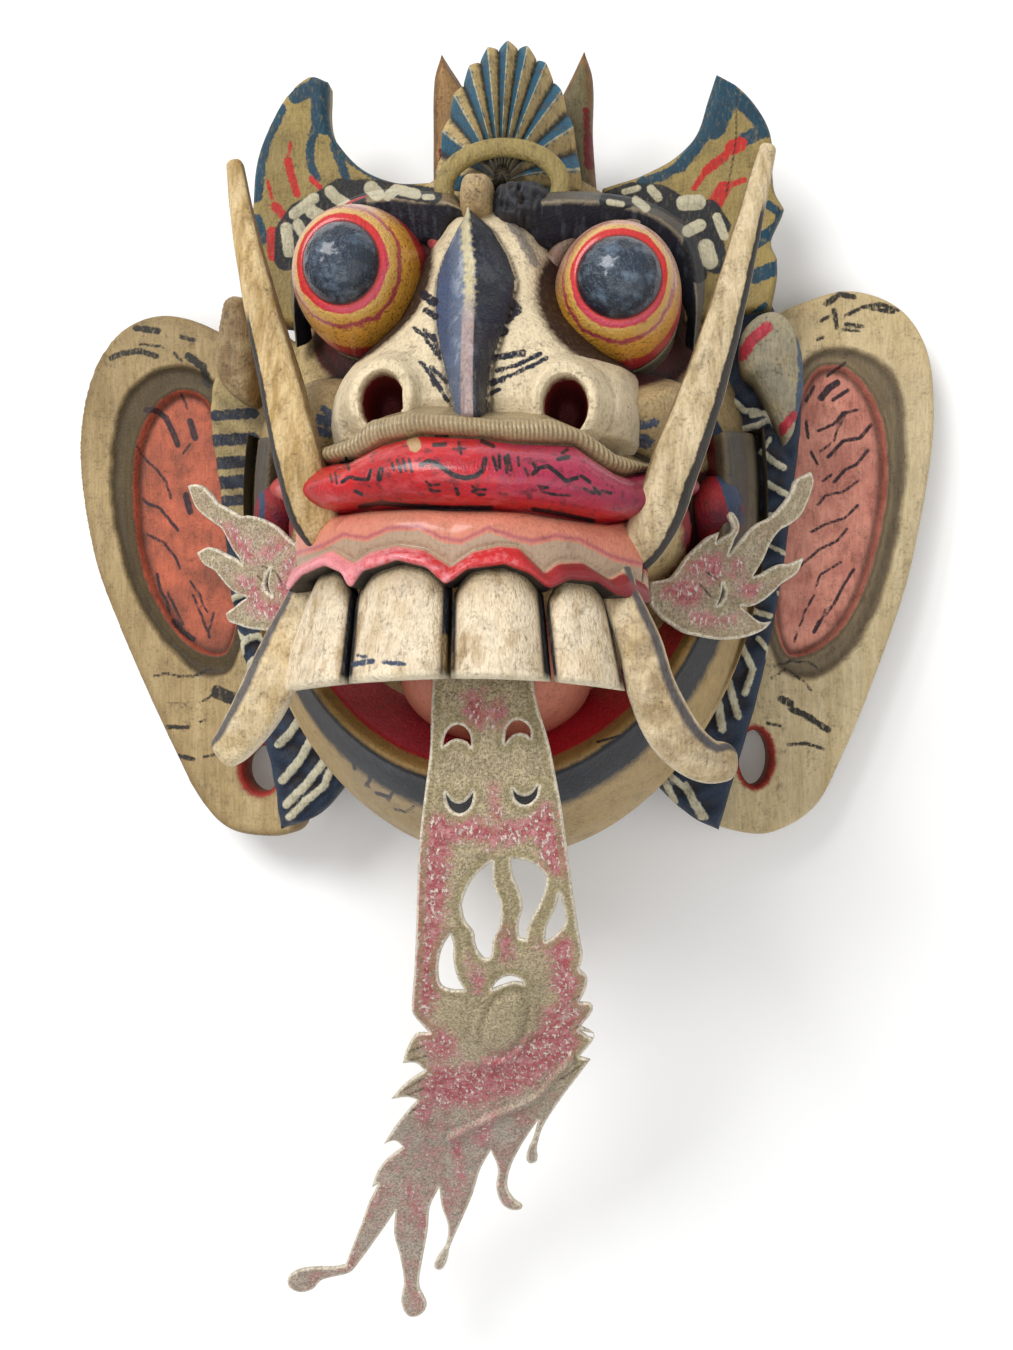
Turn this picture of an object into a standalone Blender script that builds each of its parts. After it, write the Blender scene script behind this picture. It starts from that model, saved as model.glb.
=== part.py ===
"""A carved and painted wooden demon mask that lies on its back rim, face up.

Metres, +Z out of the face, +Y towards the crown, +X to the viewer's right. The mask is one hollow block of
wood with two ear boards, two tusks, a long hide tongue and two hide flames.
"""

import math

import bmesh
import bpy
from mathutils import Matrix, Vector

# The block. The carving keeps its place as a share of these three.
BLOCK_WIDTH = 0.196
BLOCK_HEIGHT = 0.236
BLOCK_DEPTH = 0.106
CARVED_WIDTH = 196
CARVED_HEIGHT = 236
CARVED_DEPTH = 106

# Walls and fits
SIDE_WALL = 0.013
FRONT_WALL = 0.020
MUZZLE_WALL = 0.018
FIT_GAP = 0.0003

# Carved details of the block
EYE_RADIUS = 0.0215
EYE_HEIGHT = 0.050
PUPIL_RADIUS = 0.0115
LID_RADIUS = 0.0032
BROW_RADIUS = 0.0055
LIP_RADIUS = 0.0095
MOUSTACHE_RADIUS = 0.0048
RIM_RADIUS = 0.0050
NOSTRIL_RADIUS = 0.0072
NOSTRIL_DEPTH = 0.018
SLIT_RADIUS = 0.003
TOOTH_THICKNESS = 0.016
TOOTH_GROOVE = 0.0016
FANG_WIDTH = 0.0125
FANG_THICKNESS = 0.010
STRAND_RADIUS = 0.0021

# Faces that turn less than this from each other count as one
FLAT_ANGLE = math.radians(2)

# Boards that stand from the block
FIN_THICKNESS = 0.013
SPIKE_THICKNESS = 0.011
HAIR_THICKNESS = 0.013
FAN_RIBS = 13
FAN_RIB_HEIGHT = 0.0030

# Ear boards
EAR_THICKNESS = 0.012
EAR_FRONT = 0.029
EAR_TILT = math.radians(7)
EAR_GROOVE_DEPTH = 0.0018
EAR_HOLLOW_DEPTH = 0.0045
LOBE_HOLE_WIDTH = 0.0145
LOBE_HOLE_HEIGHT = 0.0175

# Tusks
TUSK_RADIUS = 0.0074
TUSK_TIP_RADIUS = 0.0026

# Painted hide
HIDE_THICKNESS = 0.0024
TONGUE_HEADROOM = 0.004
FLAME_SLOT = 0.010


def place(x, y, z=0.0):
    """A point of the carving, in millimetres on the block as drawn, moved with the block's three sizes."""
    return Vector((
        x * BLOCK_WIDTH / CARVED_WIDTH,
        y * BLOCK_HEIGHT / CARVED_HEIGHT,
        z * BLOCK_DEPTH / CARVED_DEPTH,
    ))


def clear_scene():
    for item in list(bpy.data.objects):
        bpy.data.objects.remove(item, do_unlink=True)


def new_collection(name):
    group = bpy.data.collections.new(name)
    bpy.context.scene.collection.children.link(group)
    return group


def make_material(name, colour, roughness):
    material = bpy.data.materials.new(name)
    material.use_nodes = True
    shader = material.node_tree.nodes["Principled BSDF"]
    shader.inputs["Base Color"].default_value = (*colour, 1.0)
    shader.inputs["Roughness"].default_value = roughness
    shader.inputs["Metallic"].default_value = 0.0
    material.diffuse_color = (*colour, 1.0)
    return material


def object_from(bm, name, group):
    """A mesh object whose faces all point out."""
    bmesh.ops.recalc_face_normals(bm, faces=bm.faces)
    mesh = bpy.data.meshes.new(name)
    bm.to_mesh(mesh)
    bm.free()
    item = bpy.data.objects.new(name, mesh)
    group.objects.link(item)
    return item


def curve_to_mesh(item, name, group):
    """The curve's evaluated solid as a welded mesh object."""
    graph = bpy.context.evaluated_depsgraph_get()
    mesh = bpy.data.meshes.new_from_object(item.evaluated_get(graph))
    matrix = item.matrix_world.copy()
    bpy.data.objects.remove(item, do_unlink=True)
    bm = bmesh.new()
    bm.from_mesh(mesh)
    bpy.data.meshes.remove(mesh)
    bm.transform(matrix)
    bmesh.ops.remove_doubles(bm, verts=bm.verts, dist=0.00002)
    return object_from(bm, name, group)


def plate(name, group, outlines, bottom, thickness, steps=2):
    """A board from flat closed outlines. The first is its edge and the rest are holes.

    An outline is a list of (x, y) points. A third value of 1 makes the point a sharp tip.
    """
    curve = bpy.data.curves.new(name + "_outline", "CURVE")
    curve.dimensions = "2D"
    curve.fill_mode = "BOTH"
    curve.extrude = thickness / 2
    curve.resolution_u = steps
    for outline in outlines:
        spline = curve.splines.new("BEZIER")
        spline.bezier_points.add(len(outline) - 1)
        spline.use_cyclic_u = True
        for knot, point in zip(spline.bezier_points, outline):
            spot = place(point[0], point[1])
            knot.co = (spot.x, spot.y, 0.0)
            kind = "VECTOR" if len(point) > 2 else "AUTO"
            knot.handle_left_type = kind
            knot.handle_right_type = kind
    item = bpy.data.objects.new(name + "_outline", curve)
    group.objects.link(item)
    item.location.z = bottom + thickness / 2
    bpy.context.view_layer.update()
    return curve_to_mesh(item, name, group)


def tube(name, group, points, radii, resolution=1):
    """A round bar through the points, with its own radius at each one and closed ends."""
    curve = bpy.data.curves.new(name + "_path", "CURVE")
    curve.dimensions = "3D"
    curve.bevel_depth = 1.0
    curve.bevel_resolution = resolution
    curve.use_fill_caps = True
    spline = curve.splines.new("POLY")
    spline.points.add(len(points) - 1)
    for knot, point, radius in zip(spline.points, points, radii):
        knot.co = (*point, 1.0)
        knot.radius = radius
    item = bpy.data.objects.new(name + "_path", curve)
    group.objects.link(item)
    bpy.context.view_layer.update()
    return curve_to_mesh(item, name, group)


def ball(name, group, centre, radii, segments=20, rings=12, turn=None):
    """An ellipsoid from a sphere primitive."""
    bm = bmesh.new()
    bmesh.ops.create_uvsphere(bm, u_segments=segments, v_segments=rings, radius=1.0)
    scale = Matrix.Diagonal((*radii, 1.0))
    turned = turn.to_4x4() if turn else Matrix.Identity(4)
    bm.transform(Matrix.Translation(centre) @ turned @ scale)
    return object_from(bm, name, group)


def box(name, group, low, high):
    """A block between two opposite corners."""
    low = Vector(low)
    high = Vector(high)
    bm = bmesh.new()
    bmesh.ops.create_cube(bm, size=1.0)
    bm.transform(Matrix.Translation((low + high) / 2) @ Matrix.Diagonal((*(high - low), 1.0)))
    return object_from(bm, name, group)


def loft(name, group, rings):
    """A closed skin through rings of equal count, with flat ends."""
    bm = bmesh.new()
    rows = [[bm.verts.new(point) for point in ring] for ring in rings]
    count = len(rows[0])
    for first, second in zip(rows, rows[1:]):
        for k in range(count):
            n = (k + 1) % count
            bm.faces.new((first[k], first[n], second[n], second[k]))
    bm.faces.new(list(reversed(rows[0])))
    bm.faces.new(rows[-1])
    return object_from(bm, name, group)


def smooth_through(points, steps):
    """Points on a smooth curve through the given ones, with so many steps between each pair."""
    ends = [2 * points[0] - points[1]] + list(points) + [2 * points[-1] - points[-2]]
    found = []
    for k in range(1, len(ends) - 2):
        before, start, stop, after = ends[k - 1:k + 3]
        for n in range(steps):
            t = n / steps
            found.append(0.5 * (
                2 * start + (stop - before) * t
                + (2 * before - 5 * start + 4 * stop - after) * t ** 2
                + (3 * start - before - 3 * stop + after) * t ** 3
            ))
    found.append(points[-1].copy())
    return found


def eased(values, count):
    """So many values read evenly along a list of values."""
    found = []
    for n in range(count):
        t = n / (count - 1) * (len(values) - 1)
        k = min(int(t), len(values) - 2)
        found.append(values[k] + (values[k + 1] - values[k]) * (t - k))
    return found


def with_all(item, group, operation):
    """Joins all of a collection to the object, or cuts all of it away."""
    change = item.modifiers.new(group.name, "BOOLEAN")
    change.operation = operation
    change.solver = "EXACT"
    change.operand_type = "COLLECTION"
    change.collection = group
    change.use_self = True


def cut(item, cutter):
    hole = item.modifiers.new("cut " + cutter.name, "BOOLEAN")
    hole.operation = "DIFFERENCE"
    hole.solver = "EXACT"
    hole.object = cutter


def baked(item, group):
    """The object with its modifiers applied."""
    bpy.context.view_layer.update()
    graph = bpy.context.evaluated_depsgraph_get()
    mesh = bpy.data.meshes.new_from_object(item.evaluated_get(graph))
    name = item.name
    bpy.data.objects.remove(item, do_unlink=True)
    done = bpy.data.objects.new(name, mesh)
    group.objects.link(done)
    return done


def join_flats(item, group):
    """The object with the faces that a cut left side by side in one plane made one face again."""
    flat = item.modifiers.new("joined flats", "DECIMATE")
    flat.decimate_type = "DISSOLVE"
    flat.angle_limit = FLAT_ANGLE
    return baked(item, group)


def settle(item, group, material):
    """The object's evaluated mesh as a plain object of the finished mask."""
    done = baked(item, group)
    mesh = done.data
    mesh.materials.clear()
    mesh.materials.append(material)
    mesh.shade_smooth()
    mesh.set_sharp_from_angle(angle=math.radians(35))
    return done


# Shapes that more than one piece is fitted to

JAW_STEPS = 18
SKULL_CENTRE = (1, 58, 0)
MUZZLE_CENTRE = (2, 48, 90)
MUZZLE_RADII = (68, 38, 66)


def muzzle_height(x, y):
    """How far the muzzle stands from the rim, over a point of the carving."""
    away = ((x - MUZZLE_CENTRE[0]) / MUZZLE_RADII[0]) ** 2 + ((y - MUZZLE_CENTRE[1]) / MUZZLE_RADII[1]) ** 2
    return MUZZLE_CENTRE[2] + MUZZLE_RADII[2] * math.sqrt(max(0.0, 1 - away))


def skull(name, group, grown):
    """The main swell of the block, from the rim to the middle of the face."""
    radii = Vector((BLOCK_WIDTH / 2 + grown, BLOCK_HEIGHT / 2 + grown, BLOCK_DEPTH + grown))
    return ball(name, group, place(*SKULL_CENTRE), radii, segments=28, rings=14)


def jaw_point(angle, across_x, across_y, z):
    """A point on the half ellipse of the lower jaw, at an angle that starts at the left corner."""
    return place(3 - across_x * math.cos(angle), 62 - across_y * math.sin(angle), z)


def jaw_angle(step):
    return math.pi * (step / JAW_STEPS * 1.12 - 0.06)


def jaw_rim_height(angle):
    return 80 + 39 * max(0.0, math.sin(angle)) ** 1.2


TONGUE_PATH = [(22, 124), (8, 133), (-11, 137), (-34, 135), (-57, 128), (-91, 112), (-130, 88), (-170, 62),
               (-205, 45), (-240, 34)]


def tongue_height(y):
    """How high the middle of the hide tongue runs over a place along the mask."""
    for (near, high), (far, low) in zip(TONGUE_PATH, TONGUE_PATH[1:]):
        if y >= far:
            return high + (low - high) * (near - y) / (near - far)
    return TONGUE_PATH[-1][1]


# The block's main masses

def add_masses(group):
    ball("forehead", group, place(2, 133, 50), place(66, 36, 53), 16, 8)
    ball("muzzle", group, place(*MUZZLE_CENTRE), place(*MUZZLE_RADII), 20, 10)
    for side in (-1, 1):
        ball("cheek", group, place(2 + side * 49, 82, 84), place(21, 17, 28), 12, 8)
        ball("mouth_corner", group, place(3 + side * 74, 53, 76), place(9, 13, 12), 10, 6)
    ball("leaf_lobe_right", group, place(94, 102, 46), place(13, 25, 16), 10, 6)
    ball("leaf_lobe_left", group, place(-88, 124, 46), place(12, 17, 15), 10, 6)


def jaw(name, group, grown):
    """A deep lip in a half ellipse under the mouth."""
    more = grown * CARVED_WIDTH / BLOCK_WIDTH
    rings = []
    for k in range(JAW_STEPS + 1):
        angle = jaw_angle(k)
        top = jaw_rim_height(angle)
        rings.append([
            jaw_point(angle, 88 + more, 116 + more, -12),
            jaw_point(angle, 92 + more, 125 + more, 52),
            jaw_point(angle, 88, 113, top - 26),
            jaw_point(angle, 80, 99, top - 3),
            jaw_point(angle, 73, 90, top - 6),
            jaw_point(angle, 63, 78, top - 30),
            jaw_point(angle, 50, 60, 30),
            jaw_point(angle, 50, 60, -12),
        ])
    return loft(name, group, rings)


def add_jaw(group):
    jaw("jaw", group, 0.0)
    rim = []
    for k in range(JAW_STEPS + 1):
        angle = jaw_angle(k)
        rim.append(jaw_point(angle, 77, 95, jaw_rim_height(angle) - 4))
    tube("jaw_rim", group, rim, [RIM_RADIUS] * len(rim))


def add_nose(group):
    """A bridge with a keel like a leaf, and two wide wings."""
    rings = []
    for y, half, top in ((148, 6, 106), (132, 13, 112), (112, 15, 122), (92, 20, 135), (78, 20, 143), (70, 17, 138)):
        rings.append([
            place(3 - half * 1.5, y, top - 40),
            place(3 - half, y, top - 7),
            place(3 - half * 0.4, y, top),
            place(3 + half * 0.4, y, top),
            place(3 + half, y, top - 7),
            place(3 + half * 1.5, y, top - 40),
        ])
    loft("nose_bridge", group, rings)
    keel = []
    for y, half, top in ((150, 1.5, 121), (143, 5, 123), (128, 9, 126), (113, 10.5, 134), (98, 9, 144), (84, 7, 151),
                         (75, 5, 154)):
        keel.append([place(3 - half, y, top - 7), place(3, y, top), place(3 + half, y, top - 7), place(3, y, top - 40)])
    loft("nose_keel", group, keel)
    for side in (-1, 1):
        ball("nose_wing", group, place(2 + side * 27, 86, 118), place(18.5, 16, 25), 12, 6)


def add_eyes(group):
    """Turned, bulging eyes with a stepped pupil and a rolled lid."""
    for name, x, y, lean in (("eye_left", -40, 127, -0.08), ("eye_right", 44, 122, 0.06)):
        profile = [(0.0, EYE_HEIGHT)]
        for step in range(1, 4):
            angle = step / 3 * math.radians(62)
            profile.append((PUPIL_RADIUS * math.sin(angle) / math.sin(math.radians(62)),
                            EYE_HEIGHT - 0.006 * (1 - math.cos(angle)) * 2))
        edge = profile[-1][1] - 0.0012
        profile.append((PUPIL_RADIUS + 0.0004, edge))
        for step in range(1, 6):
            angle = step / 5 * math.pi / 2
            profile.append((PUPIL_RADIUS + (EYE_RADIUS - PUPIL_RADIUS) * math.sin(angle),
                            edge - (edge - 0.012) * (1 - math.cos(angle))))
        profile.append((EYE_RADIUS, -0.020))
        profile.append((0.0, -0.020))
        bm = bmesh.new()
        knots = [bm.verts.new((r, 0.0, z)) for r, z in profile]
        for first, second in zip(knots, knots[1:]):
            bm.edges.new((first, second))
        mesh = bpy.data.meshes.new(name)
        bm.to_mesh(mesh)
        bm.free()
        eye = bpy.data.objects.new(name, mesh)
        spin = eye.modifiers.new("turned", "SCREW")
        spin.steps = 12
        spin.render_steps = 12
        spin.use_merge_vertices = True
        spin.merge_threshold = 0.00005
        group.objects.link(eye)
        bpy.context.view_layer.update()
        graph = bpy.context.evaluated_depsgraph_get()
        turned = bpy.data.meshes.new_from_object(eye.evaluated_get(graph))
        bpy.data.objects.remove(eye, do_unlink=True)
        bm = bmesh.new()
        bm.from_mesh(turned)
        bpy.data.meshes.remove(turned)
        aim = Matrix.Rotation(lean, 4, "Y") @ Matrix.Rotation(-0.10, 4, "X")
        bm.transform(Matrix.Translation(place(x, y, 78)) @ aim @ Matrix.Diagonal((1.0, 1.12, 1.0, 1.0)))
        object_from(bm, name, group)
        ring = []
        for k in range(13):
            angle = k / 12 * math.tau * 0.97
            ring.append(place(x, y, 90) + Vector((EYE_RADIUS * 1.10 * math.cos(angle),
                                                  EYE_RADIUS * 1.24 * math.sin(angle), 0.0)))
        tube("lid", group, ring, [LID_RADIUS] * len(ring))


def add_brows(group):
    """Thick arched brows that end in a knob over the nose."""
    arch = [(8, 141, 106), (20, 149, 106), (38, 154, 102), (54, 151, 95), (66, 139, 87), (71, 122, 79), (71, 106, 72)]
    for side in (-1, 1):
        points = [place(2 + side * x, y, z) for x, y, z in arch]
        radii = [BROW_RADIUS * r for r in (0.8, 1.2, 1.25, 1.1, 0.9, 0.7, 0.4)]
        tube("brow", group, points, radii)
    ball("brow_knob_left", group, place(-1, 154, 101), place(7, 8, 11), 9, 6)
    ball("brow_knob_right", group, place(12, 155, 101), place(8, 7, 12), 9, 6)


def add_lips(group):
    """A heavy upper lip, a fluted band above it and a wavy gum below."""
    lip = []
    band = []
    for k in range(11):
        x = -56 + 112 * k / 10
        y = 59 + 3 * math.cos(x / 56 * math.pi / 2)
        lip.append(place(2 + x, y, muzzle_height(2 + x * 0.98, y) - 3))
        band.append(place(2 + x * 0.98, y + 12, muzzle_height(2 + x * 0.9, y + 9) - 1))
    plump = eased([0.55, 0.9, 1.0, 1.0, 1.0, 0.9, 0.55], 11)
    tube("lip", group, lip, [LIP_RADIUS * r for r in plump])
    tube("lip_band", group, band, [MOUSTACHE_RADIUS * r for r in plump])
    gum = []
    for k in range(11):
        x = -48 + 96 * k / 10
        gum.append(place(2 + x, 36 + 1.5 * math.cos(k * math.pi), muzzle_height(2 + x, 38) + 1))
    tube("gum", group, gum, [0.0048] * 11)


def tooth_front(x, y):
    """How far the row of teeth stands from the rim."""
    return 168 - 31 * ((x - 2) / 56) ** 2 - 0.30 * y


def add_teeth(group):
    """Four broad upper teeth on a bow, each with rounded shoulders and a groove beside it."""
    gap = TOOTH_GROOVE * CARVED_WIDTH / BLOCK_WIDTH / 2
    deep = TOOTH_THICKNESS * CARVED_DEPTH / BLOCK_DEPTH
    for left, right in ((-53, -32), (-32, -2.5), (-2.5, 27), (27, 48)):
        rings = []
        for y, inset, sink in ((32, 5, 5), (29, 1.5, 1), (15, 0.3, 0), (2, 0.3, 0), (-1.5, 1.0, 1.5)):
            front = []
            back = []
            for k in range(5):
                t = k / 4
                x = left + gap + inset + (right - left - 2 * gap - 2 * inset) * t
                swell = 2.6 * math.sin(math.pi * (0.12 + 0.76 * t)) - 2.0
                front.append(place(x, y, tooth_front(x, y) - sink + swell))
                back.append(place(x, y, tooth_front(x, y) - deep))
            rings.append(front + back[::-1])
        loft("tooth", group, rings)


def add_fangs(group):
    """Long lower fangs of flat square section that curl out past the corners of the mouth."""
    left = [(-43, 28, 124), (-49, 20, 140), (-55, 6, 142), (-61, -7, 139), (-69, -17, 133), (-76, -24, 127)]
    right = [(46, 28, 124), (51, 18, 140), (56, 2, 140), (62, -12, 137), (70, -23, 132), (80, -29, 126)]
    for name, path in (("fang_left", left), ("fang_right", right)):
        points = smooth_through([place(*p) for p in path], 2)
        widths = eased([1.3, 1.45, 1.25, 1.1, 1.0, 0.75], len(points))
        rings = []
        for k, point in enumerate(points):
            ahead = points[min(k + 1, len(points) - 1)]
            behind = points[max(k - 1, 0)]
            along = (ahead - behind).normalized()
            side = along.cross(Vector((0, 0, 1))).normalized() * FANG_WIDTH * widths[k] / 2
            up = side.cross(along).normalized() * FANG_THICKNESS * min(1.0, widths[k]) / 2
            if up.z < 0:
                up = -up
            rings.append([point - side - up, point - side + up * 0.6, point - side * 0.6 + up,
                          point + side * 0.6 + up, point + side + up * 0.6, point + side - up])
        loft(name, group, rings)


def add_crown(group):
    """A cockle fan over the brow on a plain arch, between two spikes."""
    count = 2 * FAN_RIBS
    rings = []
    for level in range(4):
        share = (0.12, 0.45, 0.8, 1.0)[level]
        ring = []
        for k in range(count + 1):
            angle = math.radians(-12 + 204 * k / count)
            ridge = 1.0 if k % 2 else 0.0
            reach = share * (1.0 + (0.05 if k % 2 else 0.0) * (level == 3))
            spot = place(7 + 24 * reach * math.cos(angle), 159 + 54 * reach * math.sin(angle),
                         98 - 25 * share ** 1.4)
            spot.z += FAN_RIB_HEIGHT * ridge * (level > 0)
            ring.append(spot)
        rings.append(ring)
    base = [Vector((spot.x, spot.y, place(0, 0, 30).z)) for spot in rings[-1]]
    loft("fan", group, rings + [base])
    arch = []
    for k in range(11):
        angle = math.radians(-14 + 208 * k / 10)
        arch.append(place(7 + 19 * math.cos(angle), 157 + 13 * math.sin(angle), 96))
    tube("fan_arch", group, arch, [0.0036] * 11)
    left = [(-22, 150, 1), (-22.5, 190), (-22, 212), (-19.5, 222, 1), (-11, 208), (-2, 186), (2, 150, 1)]
    right = [(38, 150, 1), (34.5, 190), (34.5, 211), (31.5, 221, 1), (23, 204), (15, 186), (10, 150, 1)]
    plate("spike_left", group, [left], place(0, 0, 38).z, SPIKE_THICKNESS)
    plate("spike_right", group, [right], place(0, 0, 38).z, SPIKE_THICKNESS)
    ball("crown_block", group, place(7, 165, 20), place(46, 26, 48), 12, 6)


def add_fins(group):
    """Horn fins on the brow's outer ends."""
    left = [(-91, 128, 1), (-89, 152), (-88, 168), (-86, 187), (-81, 199), (-75, 209), (-67, 215), (-60.5, 213, 1),
            (-60, 197), (-54, 187), (-46, 180), (-35, 176), (-20, 176, 1), (-30, 120, 1)]
    right = [(97, 128, 1), (99, 139), (99, 146, 1), (97, 152), (101.5, 163, 1), (98, 170), (97, 188), (93.5, 197),
             (86, 206), (78, 211, 1), (75, 202), (71, 190), (63, 182), (51, 176), (38, 172, 1), (30, 120, 1)]
    plate("fin_left", group, [left], place(0, 0, 34).z, FIN_THICKNESS)
    plate("fin_right", group, [right], place(0, 0, 34).z, FIN_THICKNESS)


LEFT_HAIR = [(-90, 134, 1), (-100, 118), (-105, 98), (-101, 64), (-97, 28), (-89, -8), (-82, -36), (-79, -56, 1),
             (-66, -51), (-55, -39), (-44, -26, 1), (-60, 40), (-70, 118, 1)]
RIGHT_HAIR = [(96, 134, 1), (104, 118), (108, 98), (105, 64), (100, 28), (93, -6), (85, -34), (79, -55, 1),
              (69, -50), (56, -38), (45, -24, 1), (62, 40), (72, 118, 1)]


def add_hair(group):
    """Panels of hair beside the face and beard below, with raised wavy strands."""
    bottom = EAR_FRONT + FIT_GAP
    front = bottom + HAIR_THICKNESS
    plate("hair_left", group, [LEFT_HAIR], bottom, HAIR_THICKNESS)
    plate("hair_right", group, [RIGHT_HAIR], bottom, HAIR_THICKNESS)
    for side in (-1, 1):
        for row in range(3):
            points = []
            for k in range(8):
                t = k / 7
                x = 2 + side * (99 - 7 * row - 16 * t ** 1.6 + 2.0 * math.sin(t * 9 + row))
                spot = place(x, 88 - 132 * t, 0)
                spot.z = front
                points.append(spot)
            tube("strand", group, points, [STRAND_RADIUS * r for r in eased([0.5, 1.0, 1.0, 0.9, 0.4], 8)], 0)
        for bar in range(5):
            low = place(2 + side * 93, 66 + 11 * bar)
            high = place(2 + side * 103, 71 + 11 * bar)
            low.z = front
            high.z = front
            tube("lock", group, [low, high], [STRAND_RADIUS] * 2, 0)


# Cuts in the block

def add_hollows(group):
    """The wearer's side: one hollow for the face and a deeper one for the muzzle."""
    walls = Vector((SIDE_WALL, SIDE_WALL, FRONT_WALL))
    radii = Vector((BLOCK_WIDTH / 2, BLOCK_HEIGHT / 2, BLOCK_DEPTH)) - walls
    ball("face_hollow", group, place(*SKULL_CENTRE), radii, 18, 9)
    thick = Vector((MUZZLE_WALL, MUZZLE_WALL * 0.8, MUZZLE_WALL))
    ball("muzzle_hollow", group, place(2, 52, 66), place(58, 36, 66) - thick, 12, 6)


def add_mouth_cuts(group):
    """The space between the jaws, and the slot behind the tongue that lets the wearer breathe."""
    ball("mouth_space", group, place(3, 6, 116), place(47, 25, 14), 14, 6)
    low = place(-24, 14, 40)
    high = place(30, 26, 116)
    box("breathing_slot", group, low, high)


def add_nostrils(group):
    radii = Vector((NOSTRIL_RADIUS, NOSTRIL_RADIUS * 1.1, NOSTRIL_DEPTH))
    for side in (-1, 1):
        ball("nostril", group, place(2 + side * 27, 83, 143), radii, 10, 6, Matrix.Rotation(0.25, 3, "X"))


def add_slits(group):
    """Curved slits under the eyes."""
    for x, y in ((-38, 127), (45, 122)):
        points = []
        for k in range(7):
            angle = math.radians(215 + 110 * k / 6)
            points.append(place(x, y, 91) + Vector((EYE_RADIUS * 1.36 * math.cos(angle),
                                                    EYE_RADIUS * 1.5 * math.sin(angle), 0.0)))
        tube("slit", group, points, [SLIT_RADIUS * r for r in (0.5, 0.9, 1.0, 1.0, 1.0, 0.9, 0.5)], 0)


def add_base_cut(group):
    """Everything behind the back rim."""
    reach = 3 * max(BLOCK_WIDTH, BLOCK_HEIGHT)
    box("behind_the_rim", group, (-reach, -reach, -reach), (reach, reach, 0.0))


# Pieces fitted to the block

def tusk_shape(name, group, side, grown, stop):
    """A long curved tusk. A grown one, cut short, is its socket."""
    left = [(-36, 42, 108), (-41, 41, 124), (-46, 48, 134), (-50, 62, 135), (-57, 87, 130), (-65, 115, 125),
            (-71.5, 140, 120), (-76, 162, 115)]
    right = [(42, 38, 108), (49, 37, 124), (56, 46, 134), (62.5, 64, 135), (71, 88, 130), (79, 116, 125),
             (86, 144, 120), (90.5, 162, 115)]
    path = left if side < 0 else right
    points = smooth_through([place(*p) for p in path], 2)
    radii = [TUSK_TIP_RADIUS + (TUSK_RADIUS - TUSK_TIP_RADIUS) * r
             for r in eased([0.7, 0.9, 1.0, 1.0, 0.9, 0.72, 0.42, 0.0], len(points))]
    last = len(points) if stop is None else stop
    points[0] += (points[0] - points[1]).normalized() * grown
    return tube(name, group, points[:last], [r + grown for r in radii[:last]])


def flame_outline(side):
    left = [(-50, 34, 1), (-64, 44), (-76, 51), (-86, 55), (-91, 61), (-97, 63, 1), (-93, 55), (-88, 48), (-84, 42),
            (-92, 39, 1), (-86, 33), (-79, 29), (-75, 25), (-83, 18, 1), (-76, 16), (-66, 15), (-58, 20), (-50, 26, 1)]
    right = [(52, 31, 1), (61, 35), (68, 42), (76, 46), (81, 54, 1), (83, 47), (82, 41), (92, 46), (99, 56),
             (107, 65, 1), (104, 52), (96, 42), (91, 34), (102, 34, 1), (94, 26), (84, 22), (93, 17, 1), (85, 12),
             (76, 10), (66, 11), (52, 22, 1)]
    return left if side < 0 else right


def flame(name, group, side):
    """A thin pierced flame of hide that leans back from the corner of the mouth."""
    eye = [(side * 70 + 4, 30), (side * 70, 34), (side * 70 - 3, 29), (side * 70, 31.5)]
    item = plate(name, group, [flame_outline(side), eye], 0.0, HIDE_THICKNESS)
    lean = Matrix.Rotation(side * math.radians(25), 4, "Y")
    root = place(side * 53, 0, 109)
    pivot = Vector((root.x, 0, 0))
    item.data.transform(Matrix.Translation(root) @ lean @ Matrix.Translation(-pivot))
    return item


def flame_slot(group, side):
    """The slot in the muzzle that the flame's root stands in."""
    low = place(side * 53, 8, 0)
    high = place(side * 53, 50, 0)
    inside = -side * FLAME_SLOT
    outside = side * 2.4 * FLAME_SLOT
    item = box("flame_slot", group, (min(inside, outside), low.y - FIT_GAP, -FIT_GAP),
               (max(inside, outside), high.y + FIT_GAP, HIDE_THICKNESS + FIT_GAP))
    lean = Matrix.Rotation(side * math.radians(25), 4, "Y")
    item.data.transform(Matrix.Translation(place(side * 53, 0, 109)) @ lean)
    return item


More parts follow.
